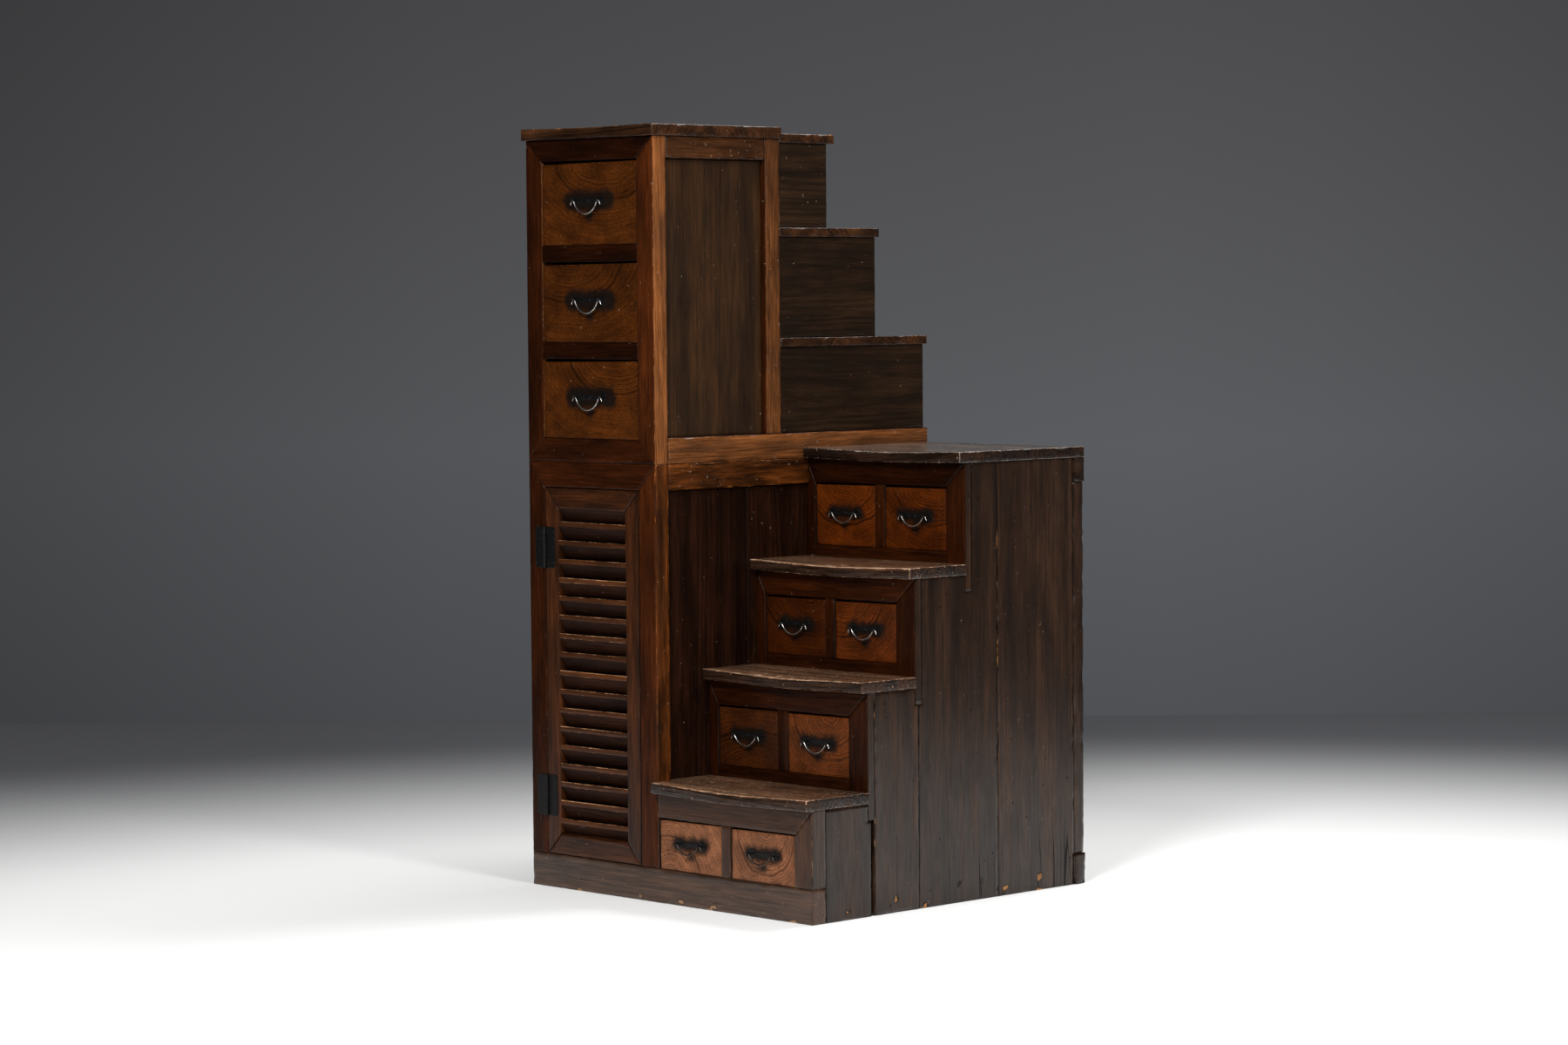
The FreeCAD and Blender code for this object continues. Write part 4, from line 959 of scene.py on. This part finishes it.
def outline_grid(add, counts, axis, length):
    """A grid to draw out to an outline: its points lie closer at both ends of one axis."""
    place = add("InputPosition")
    parts = add("SeparateXYZ", place).outputs
    share = add("Math SINE", add("*", parts[axis], math.pi))
    filed = add("<", parts["Y"], -0.4)
    return add("MeshCube", (1, 1, 1), *counts), place, parts, share, add("*", length, 0.5), filed


def round_end(add, past, radius, least):
    """What is left of a round end past its start, as a share: the root of 1 - (past / radius) squared."""
    ratio = add("/", past, radius)
    left = add("-", 1.0, add("*", ratio, ratio))
    return add("Math SQRT", add("max", left, least))


def forged(add, shapes, finish):
    """Join shapes and finish them as one."""
    joined = add("JoinGeometry")
    for shape in shapes:
        fill(joined, {0: shape})
    add("GroupOutput", finished(add, add("RealizeInstances", joined), 0.7, finish))


def grown_mesh(tree, name, source, sizes):
    """What a tree makes of a curve or mesh with these sizes, as a plain mesh."""
    carrier = put(name, source)
    modifier = carrier.modifiers.new(name, "NODES")
    modifier.node_group = tree
    for item in tree.interface.items_tree:
        if item.in_out == "INPUT" and item.name in sizes:
            modifier[item.identifier] = sizes[item.name]
    graph = bpy.context.evaluated_depsgraph_get()
    mesh = bpy.data.meshes.new_from_object(carrier.evaluated_get(graph), preserve_all_data_layers=True,
                                           depsgraph=graph)
    carrier.modifiers.remove(modifier)
    bpy.data.objects.remove(carrier)
    mesh.name = name
    return mesh


print("helpers ready")

# %% [markdown]
# ## Louvres
# Eighteen thin slats fill the door's opening. Their front edges stand in the door's face and the boards
# fall towards the inside, so air passes but nobody can look in.
# One slat is shaped from a grid, then repeated down a line with its own small tilt and tone. The highest
# and lowest slats are trimmed where the rails cover them.

# %% The slat tree
MOST_TILT = Vector((0.035, 0.0025, 0.002))
OTHER_LOG, RIPPLE = (9.0, 0.13, 0.07), (0.0, 0.6 * MM, 1.2 * MM)


def slat_tree():
    tree, add, given = geometry_tree(
        "louvre_slats", Int="Count, Seed", Vector="First", Material="Finish, Underside",
        Float="Pitch, Width, Depth, Face height, Fall, Highest, Lowest, Arris")
    size = add("CombineXYZ", given["Width"], given["Depth"], given["Face height"])
    slat = add("MeshCube", size, 45, 7, 7)
    place = add("InputPosition")
    parts = add("SeparateXYZ", add("VectorMath DIVIDE", place, size)).outputs

    # Rows gather near the arrises: a share s of the half thickness becomes 1 - (1 - s) squared.
    spread = []
    for axis in ("Y", "Z"):
        double = add("*", parts[axis], 2.0)
        left = add("-", 1.0, add("abs", double))
        gathered = add("-", 1.0, add("**", left, 2.0))
        spread.append(add("*", gathered, add("Math SIGN", double)))
    rim = [add("**", share, 8.0) for share in spread]
    across = []
    for share, other, label in zip(spread, reversed(rim), ("Depth", "Face height")):
        half = add("*", given[label], 0.5)
        reach = add("-", half, add("*", other, given["Arris"]))
        across.append(add("*", share, reach))
    level = add("SeparateXYZ", place).outputs["X"]
    fall = add("MapRange", spread[0], -1.0, 1.0, 0.0, given["Fall"])
    shaped = add("CombineXYZ", level, across[0], add("-", across[1], fall))
    # The arris share that the finish turns pale: worn lacquer and painted highlight lines.
    worn = add("**", add("*", *rim), 0.4)
    logged = add("StoreNamedAttribute FLOAT_VECTOR", slat, None, "log", add("CombineXYZ", level, *across))
    bent = add("SetPosition", add("StoreNamedAttribute", logged, None, "rim", worn), None, shaped)

    # One slat on each point of a line, each with its own tone, tilt and place in its log.
    down = add("CombineXYZ", None, None, add("*", given["Pitch"], -1.0))
    line = add("MeshLine", given["Count"], given["First"], down)
    chance = add("RandomValue", {"Seed": given["Seed"]})
    toned = add("StoreNamedAttribute", line, None, "tone", chance)
    tilt = add("RandomValue FLOAT_VECTOR", -MOST_TILT, MOST_TILT, None, given["Seed"])
    slats = add("InstanceOnPoints", {"Points": toned, "Instance": bent, "Rotation": tilt})
    own = add("VectorMath SCALE", OTHER_LOG, add("InputNamedAttribute", "tone"))
    stored = add("InputNamedAttribute FLOAT_VECTOR", "log")
    moved = add("VectorMath ADD", stored, own)
    real = add("StoreNamedAttribute FLOAT_VECTOR", add("RealizeInstances", slats), None, "log", moved)

    # A ripple along each slat, and the cut at the rails.
    ripple = add("TexNoise", moved, 9.0, 3.0).outputs["Color"]
    move = add("VectorMath MULTIPLY", add("VectorMath SUBTRACT", ripple, (0.5, 0.1, 0.5)), RIPPLE)
    here = add("SeparateXYZ", add("VectorMath ADD", add("InputPosition"), move)).outputs
    under = add("min", here["Z"], given["Highest"])
    final = add("CombineXYZ", here["X"], here["Y"], add("max", under, given["Lowest"]))
    whole = finished(add, add("SetPosition", real, None, final), 0.35, given["Finish"])
    # Faces that turn downwards get the darker underside finish: painted shade.
    facing = add("SeparateXYZ", add("InputNormal")).outputs["Z"]
    below = add("<", facing, -0.35)
    add("GroupOutput", add("SetMaterial", whole, below, given["Underside"]))
    return tree


# %% [markdown]
# ## The slats in the door
# The stiles and rails leave an opening of 47.5 mm and 51 mm from the door's edges. The slats share its
# height, and their ends sit 1.5 mm deep in the stiles.

# %% Fill the door's opening
LOUVRES, HIDDEN_SHARE, HOUSING, SETBACK = 18, 0.33, 1.5 * MM, 0.4 * MM
FACE_HEIGHT, SLAT_DEPTH, SLAT_FALL = 14.5 * MM, 22 * MM, 33 * MM
STILE, RAIL, UNDER_RAIL = 47.5 * MM, 51 * MM, 1 * MM
door_low, door_high = (Vector(corner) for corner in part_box("door_frame"))
opening_low, opening_high = door_low.z + RAIL, door_high.z - RAIL
pitch = (opening_high - opening_low) / (LOUVRES - 0.5)
first = ((door_low.x + door_high.x) / 2, door_low.y + SLAT_DEPTH / 2 + SETBACK,
         opening_high + HIDDEN_SHARE * pitch - FACE_HEIGHT / 2)
louvres = grown_mesh(slat_tree(), "door_louvres", bpy.data.meshes.new("empty"), {
    "Count": LOUVRES, "Pitch": pitch, "Width": door_high.x - door_low.x - 2 * STILE + 2 * HOUSING,
    "Depth": SLAT_DEPTH, "Face height": FACE_HEIGHT, "Fall": SLAT_FALL, "First": first,
    "Highest": opening_high + UNDER_RAIL, "Lowest": opening_low - UNDER_RAIL, "Arris": 1.1 * MM,
    "Seed": 7, "Finish": FINISH["louvre"], "Underside": FINISH["slat underside"]})
stand_for(louvres, "door_louvres", "door_louvres_wood")
print(LOUVRES, "slats,", round(pitch / MM, 1), "mm apart")

# %% [markdown]
# ## Blackened iron
# The pulls and hinges are wrought iron, heated and oiled until nearly black, with small hammer flats and
# brown specks. The bails are rubbed bright by fingers.

# %% Iron finishes
DENT_DEPTH = 0.5 * MM


def iron_finish(name, dark, brown, metallic, gloss, flats=3.0, mirror=0.5):
    """Hammered iron. flats is the width of a hammer flat in mm."""
    finish, shader, add = new_material(name)
    place = add("TexCoord").outputs["Object"]
    rust = add("TexNoise", place, 160.0, 5.0, 0.7)
    spots = add("MapRange", rust, 0.48, 0.66)
    hammer = add("TexVoronoi", place, 1000 / flats, feature="SMOOTH_F1")
    dents = add("*+", rust, 0.4, hammer)
    fill(shader, {
        "Base Color": add("Mix RGBA", spots, colour(dark), colour(brown)),
        "Roughness": add("MapRange", rust, 0.3, 0.7, gloss, gloss + 0.25),
        "Normal": add("Bump", {"Height": dents, "Strength": 0.35, "Distance": DENT_DEPTH}),
        "Metallic": metallic, "Specular IOR Level": mirror})
    return finish


BLACK_IRON = iron_finish("oil blackened wrought iron", "#060606", "#120e0c", 0.0, 0.32, 4.0, 0.22)
RUBBED_IRON = iron_finish("finger rubbed wrought iron", "#c4c0ba", "#4a4038", 1.0, 0.18)
BROWN_IRON = iron_finish("brown wrought iron", "#5c5048", "#2a211b", 1.0, 0.24)
print("three iron finishes")

# %% [markdown]
# ## Bails
# A bail is a forged wire, thinner towards the ends, where it curls through the eye posts and splays
# outwards. Its middle line is an arc, two curls and two straight tips, the same line as in the packed
# model. A tree sweeps a round section along it and lets the thickness taper.

# %% The bail tree and its line
WIRE, CURL, TIP, SPLAY, TIP_SHARE = 2.1 * MM, 5.2 * MM, 7 * MM, math.radians(24), 0.62


def bail_tree():
    tree, add, given = geometry_tree("forged_bail", Float="Wire radius, Tip share", Material="Finish")
    along = add("MapRange", add("SplineParameter"), 0.0, 1.0, -1.0, 1.0)
    taper = add("MapRange", add("abs", along), 0.15, 1.0, 1.0, given["Tip share"])
    section = add("CurvePrimitiveCircle", 12, given["Wire radius"])
    wire = add("CurveToMesh", given["Shape"], section, taper, True)
    real = add("RealizeInstances", add("SetShadeSmooth", wire))
    add("GroupOutput", add("SetMaterial", real, None, given["Finish"]))
    return tree


def bail_curve(name, spacing, drop):
    """The bail's middle line, from one tip to the other, with the eyes at height 0."""
    reach = spacing / 2
    crown = (reach ** 2 + drop ** 2 - 2 * drop * CURL) / (2 * drop)
    lean = math.atan2(reach, crown + CURL - drop)
    half = [(crown * math.sin(a), crown - drop - crown * math.cos(a)) for a in np.linspace(0, lean, 16)]
    turns = np.linspace(math.pi / 2 + lean, SPLAY, 15)[1:]
    half += [(reach + CURL * math.cos(a), CURL * math.sin(a) - CURL) for a in turns]
    end = half[-1]
    half += [(end[0] + s * TIP * math.sin(SPLAY), end[1] - s * TIP * math.cos(SPLAY))
             for s in (0.35, 0.7, 1)]
    line = [(-x, z) for x, z in reversed(half[1:])] + half
    curve = bpy.data.curves.new(name, "CURVE")
    curve.dimensions = "3D"
    spline = curve.splines.new("POLY")
    spline.points.add(len(line) - 1)
    for point, (x, z) in zip(spline.points, line):
        point.co = (x, 0, z, 1)
    return curve


# %% [markdown]
# ## A bail for every drawer
# The upper drawers have a wider pull than the stair's. Each bail is grown at its own size and then
# hangs in its eyes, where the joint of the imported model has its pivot.

# %% Hang a bail on every drawer
UPPER_PULL, STAIR_PULL = (91 * MM, 31 * MM), (79 * MM, 24 * MM)
BAIL_TREE = bail_tree()
for drawer, pivot in PULL_PLACE.items():
    spacing, drop = UPPER_PULL if drawer.startswith("upper") else STAIR_PULL
    iron = BROWN_IRON if drawer.startswith("step_1") else RUBBED_IRON
    bail = grown_mesh(BAIL_TREE, drawer + "_bail", bail_curve(drawer, spacing, drop),
                      {"Wire radius": WIRE, "Tip share": TIP_SHARE, "Finish": iron})
    bail.transform(Matrix.Translation(pivot))
    stand_for(bail, drawer + "_bail", drawer + "_bail_iron")
print(len(PULL_PLACE), "bails")

# %% [markdown]
# ## Pull plates
# Behind each bail lies a thin iron plate: a bar with a round pad at each eye, cut from sheet and filed at
# a slant. A grid is drawn out to that outline, and the eye rings, their shanks and the small domed nail
# in the middle sit on points along it.

# %% The plate tree
RING, RING_WIRE, SHANK = 4.1 * MM, 1.5 * MM, (2 * MM, 7 * MM)
QUARTER = math.pi / 2


def plate_tree():
    tree, add, given = geometry_tree(
        "pull_plate", Material="Finish",
        Float="Spacing, Bar half height, Pad radius, Thickness, Back, Edge slant")
    grid, place, parts, share, half, filed = outline_grid(add, (61, 3, 5), "X", given["Spacing"])
    along = add("*", share, add("+", half, given["Pad radius"]))

    # Half height of the outline: a round pad beyond and around each eye, the bar between them.
    beyond = add("-", add("abs", along), half)
    pad = add("*", round_end(add, beyond, given["Pad radius"], 0.002), given["Pad radius"])
    bar = add("*", add("<", beyond, 0.0), given["Bar half height"])
    narrow = add("-", add("max", pad, bar), add("*", filed, given["Edge slant"]))
    ragged = add("MapRange", add("TexNoise", place, 12.0), 0.0, 1.0, 2.0, 1.75)
    height = add("*", add("max", narrow, 0.2 * MM), ragged)
    deep = add("*+", add("-", parts["Y"], 0.5), given["Thickness"], given["Back"])
    point = add("CombineXYZ", along, deep, add("*", parts["Z"], height))
    plate = add("SetPosition", grid, None, point)

    # An eye ring and its shank at each end, and a nail in the middle.
    start = add("CombineXYZ", add("*", half, -1.0))
    eyes = add("MeshLine", 2, start, add("CombineXYZ", given["Spacing"]))
    circle, wire = (add("CurvePrimitiveCircle", *size) for size in ((20, RING), (8, RING_WIRE)))
    ring = add("CurveToMesh", circle, wire)
    upright = add("Transform", ring, None, (0, QUARTER, 0))
    bolt = add("MeshCylinder", {"Vertices": 12, "Radius": SHANK[0], "Depth": SHANK[1]})
    shank = add("Transform", bolt, (0, SHANK[1], 0), (QUARTER, 0, 0))
    nail = add("Transform", add("MeshUVSphere", 12, 8, 1.0), (0, 10.4 * MM, 0), None,
               (3 * MM, 1.8 * MM, 3 * MM))
    forged(add, [plate, add("InstanceOnPoints", eyes, None, upright),
                 add("InstanceOnPoints", eyes, None, shank), nail], given["Finish"])
    return tree


# %% [markdown]
# ## A plate for every drawer
# Every plate is cut by hand, so its outline wobbles a little. The eyes keep their exact places, because
# the bails turn in them.

# %% Fix a plate on every drawer
PLATE_SIZES = {"Bar half height": 6 * MM, "Pad radius": 12 * MM, "Thickness": 1.6 * MM,
               "Back": EYE_STANDOFF, "Edge slant": 0.9 * MM, "Finish": BLACK_IRON}
PLATE_TREE = plate_tree()
for drawer, pivot in PULL_PLACE.items():
    spacing, _ = UPPER_PULL if drawer.startswith("upper") else STAIR_PULL
    plate = grown_mesh(PLATE_TREE, drawer + "_plate", bpy.data.meshes.new("empty"),
                       {"Spacing": spacing, **PLATE_SIZES})
    plate.transform(Matrix.Translation(pivot))
    stand_for(plate, drawer + "_handle_plate", drawer + "_plate_iron")
print(len(PULL_PLACE), "plates of", TRIANGLES["upper_top_drawer_plate_iron"], "triangles")

# %% [markdown]
# ## Hinges
# Two iron hinges carry the door. Each leaf is a thin plate with rounded outer corners, hammered flat and
# held by domed nails. Its inner edge is rolled into knuckles round a pin, three on the door's leaf and
# two on the case's. The tree builds one leaf from the pin outwards, for either side.

# %% The hinge tree
HINGE_LENGTH, LEAF_GAP, KNUCKLE_PITCH, PLAY = 101 * MM, 4.9 * MM, 20.2 * MM, 0.6 * MM
FILED, RAGGED, DENTED = 0.8 * MM, 1.6 * MM, 0.8 * MM
WEB_OVERLAP, WEB_THICKNESS = 1.5 * MM, 1.6 * MM


def hinge_tree():
    tree, add, given = geometry_tree(
        "hinge_leaf", Int="Knuckles", Material="Finish",
        Float="Side, Length, Gap, Width, Thickness, Corner, First knuckle, Pitch, Knuckle radius, Seed")
    grid, place, parts, share, half, filed = outline_grid(add, (15, 3, 41), "Z", given["Length"])

    # The outer edge is cut back at its round corners, where it is ragged, and where it is filed.
    slant = add("*", filed, FILED)
    reach = add("-", half, slant)
    up = add("*", share, reach)
    past = add("-", add("abs", up), add("-", reach, given["Corner"]))
    lost = add("-", 1.0, round_end(add, add("max", past, 0.0), given["Corner"], 0.0))
    corner = add("*", lost, given["Corner"])
    spot = add("VectorMath ADD", place, add("CombineXYZ", given["Seed"]))
    wobble = add("TexNoise", spot, 9.0, 3.0)
    ragged = add("*+", wobble, RAGGED, corner)
    width = add("-", given["Width"], add("+", ragged, slant))
    sided = add("*+", parts["X"], given["Side"], 0.5)
    from_pin = add("*+", sided, width, given["Gap"])
    across = add("*", from_pin, given["Side"])
    level = add("*", add("-", parts["Y"], 0.5), given["Thickness"])
    deep = add("*+", add("*", wobble, filed), DENTED, level)
    point = add("CombineXYZ", across, deep, add("+", up, half))
    leaf = add("SetPosition", grid, None, point)

    # Knuckles round the pin, each with a short web to the leaf.
    inset = add("*", given["Knuckle radius"], -1.0)
    start = add("CombineXYZ", None, inset, given["First knuckle"])
    step = add("CombineXYZ", None, None, add("*", given["Pitch"], 2.0))
    pins = add("MeshLine", given["Knuckles"], start, step)
    long = add("-", given["Pitch"], PLAY)
    knuckle = add("MeshCylinder", 20, 4, None, given["Knuckle radius"], long)
    web_wide = add("+", given["Gap"], WEB_OVERLAP)
    web = add("MeshCube", add("CombineXYZ", web_wide, WEB_THICKNESS, long))
    web_side = add("*", add("*", web_wide, 0.5), given["Side"])
    web_back = add("-", given["Knuckle radius"], WEB_THICKNESS / 2)
    webbed = add("Transform", web, add("CombineXYZ", web_side, web_back))
    head = add("Transform", add("MeshUVSphere", 12, 8, 1.0), None, None, (2.6 * MM, 1.2 * MM, 2.6 * MM))
    forged(add, [leaf, add("InstanceOnPoints", pins, None, knuckle),
                 add("InstanceOnPoints", pins, None, webbed),
                 add("InstanceOnPoints", given["Shape"], None, head)], given["Finish"])
    return tree


# %% [markdown]
# ## Hang the door
# The leaves on the door turn with it and those on the case stay, so each body gets its own piece, with a
# leaf of both hinges.

# %% Build the leaves of both bodies
HINGE_TREE = hinge_tree()
HINGE_PIN, HINGE_FEET = (-429.05 * MM, -455 * MM), (175.5 * MM, 782.5 * MM)
NAIL_PLACES = [(x, z) for x in (10.9, 31) for z in (12, 89)]
LEAF_REACH = {"door_hinge_leaves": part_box("door_hinge_leaves")[1][0] - HINGE_PIN[0],
              "case_hinge_leaves": HINGE_PIN[0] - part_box("case_hinge_leaves")[0][0]}
LEAF_SIZES = {"Length": HINGE_LENGTH, "Gap": LEAF_GAP, "Thickness": 2 * MM, "Corner": 9 * MM,
              "Pitch": KNUCKLE_PITCH, "Knuckle radius": 4.5 * MM, "Finish": BLACK_IRON}
for node, side, knuckles, first_knuckle in (
        ("door_hinge_leaves", 1, 3, 0.5), ("case_hinge_leaves", -1, 2, 1.5)):
    shell = bmesh.new()
    for number, foot in enumerate(HINGE_FEET):
        nails = bpy.data.meshes.new("nails")
        nails.from_pydata([(side * x * MM, -2 * MM, z * MM) for x, z in NAIL_PLACES], [], [])
        leaf = grown_mesh(HINGE_TREE, node, nails, {
            "Side": float(side), "Width": LEAF_REACH[node] - LEAF_GAP, "Knuckles": knuckles,
            "First knuckle": first_knuckle * KNUCKLE_PITCH, "Seed": 3.0 * number + side, **LEAF_SIZES})
        leaf.transform(Matrix.Translation((*HINGE_PIN, foot)))
        shell.from_mesh(leaf)
    both = bpy.data.meshes.new(node)
    shell.to_mesh(both)
    shell.free()
    both.materials.append(BLACK_IRON)
    stand_for(both, node, node + "_iron")
print("leaves reach", {node: round(reach / MM, 1) for node, reach in LEAF_REACH.items()}, "mm from the pin")

# %% [markdown]
# ## The largest pieces
# The pieces with the most triangles are printed last.

# %% Measure and finish
print("largest pieces:", sorted(TRIANGLES.items(), key=lambda item: -item[1])[:4])
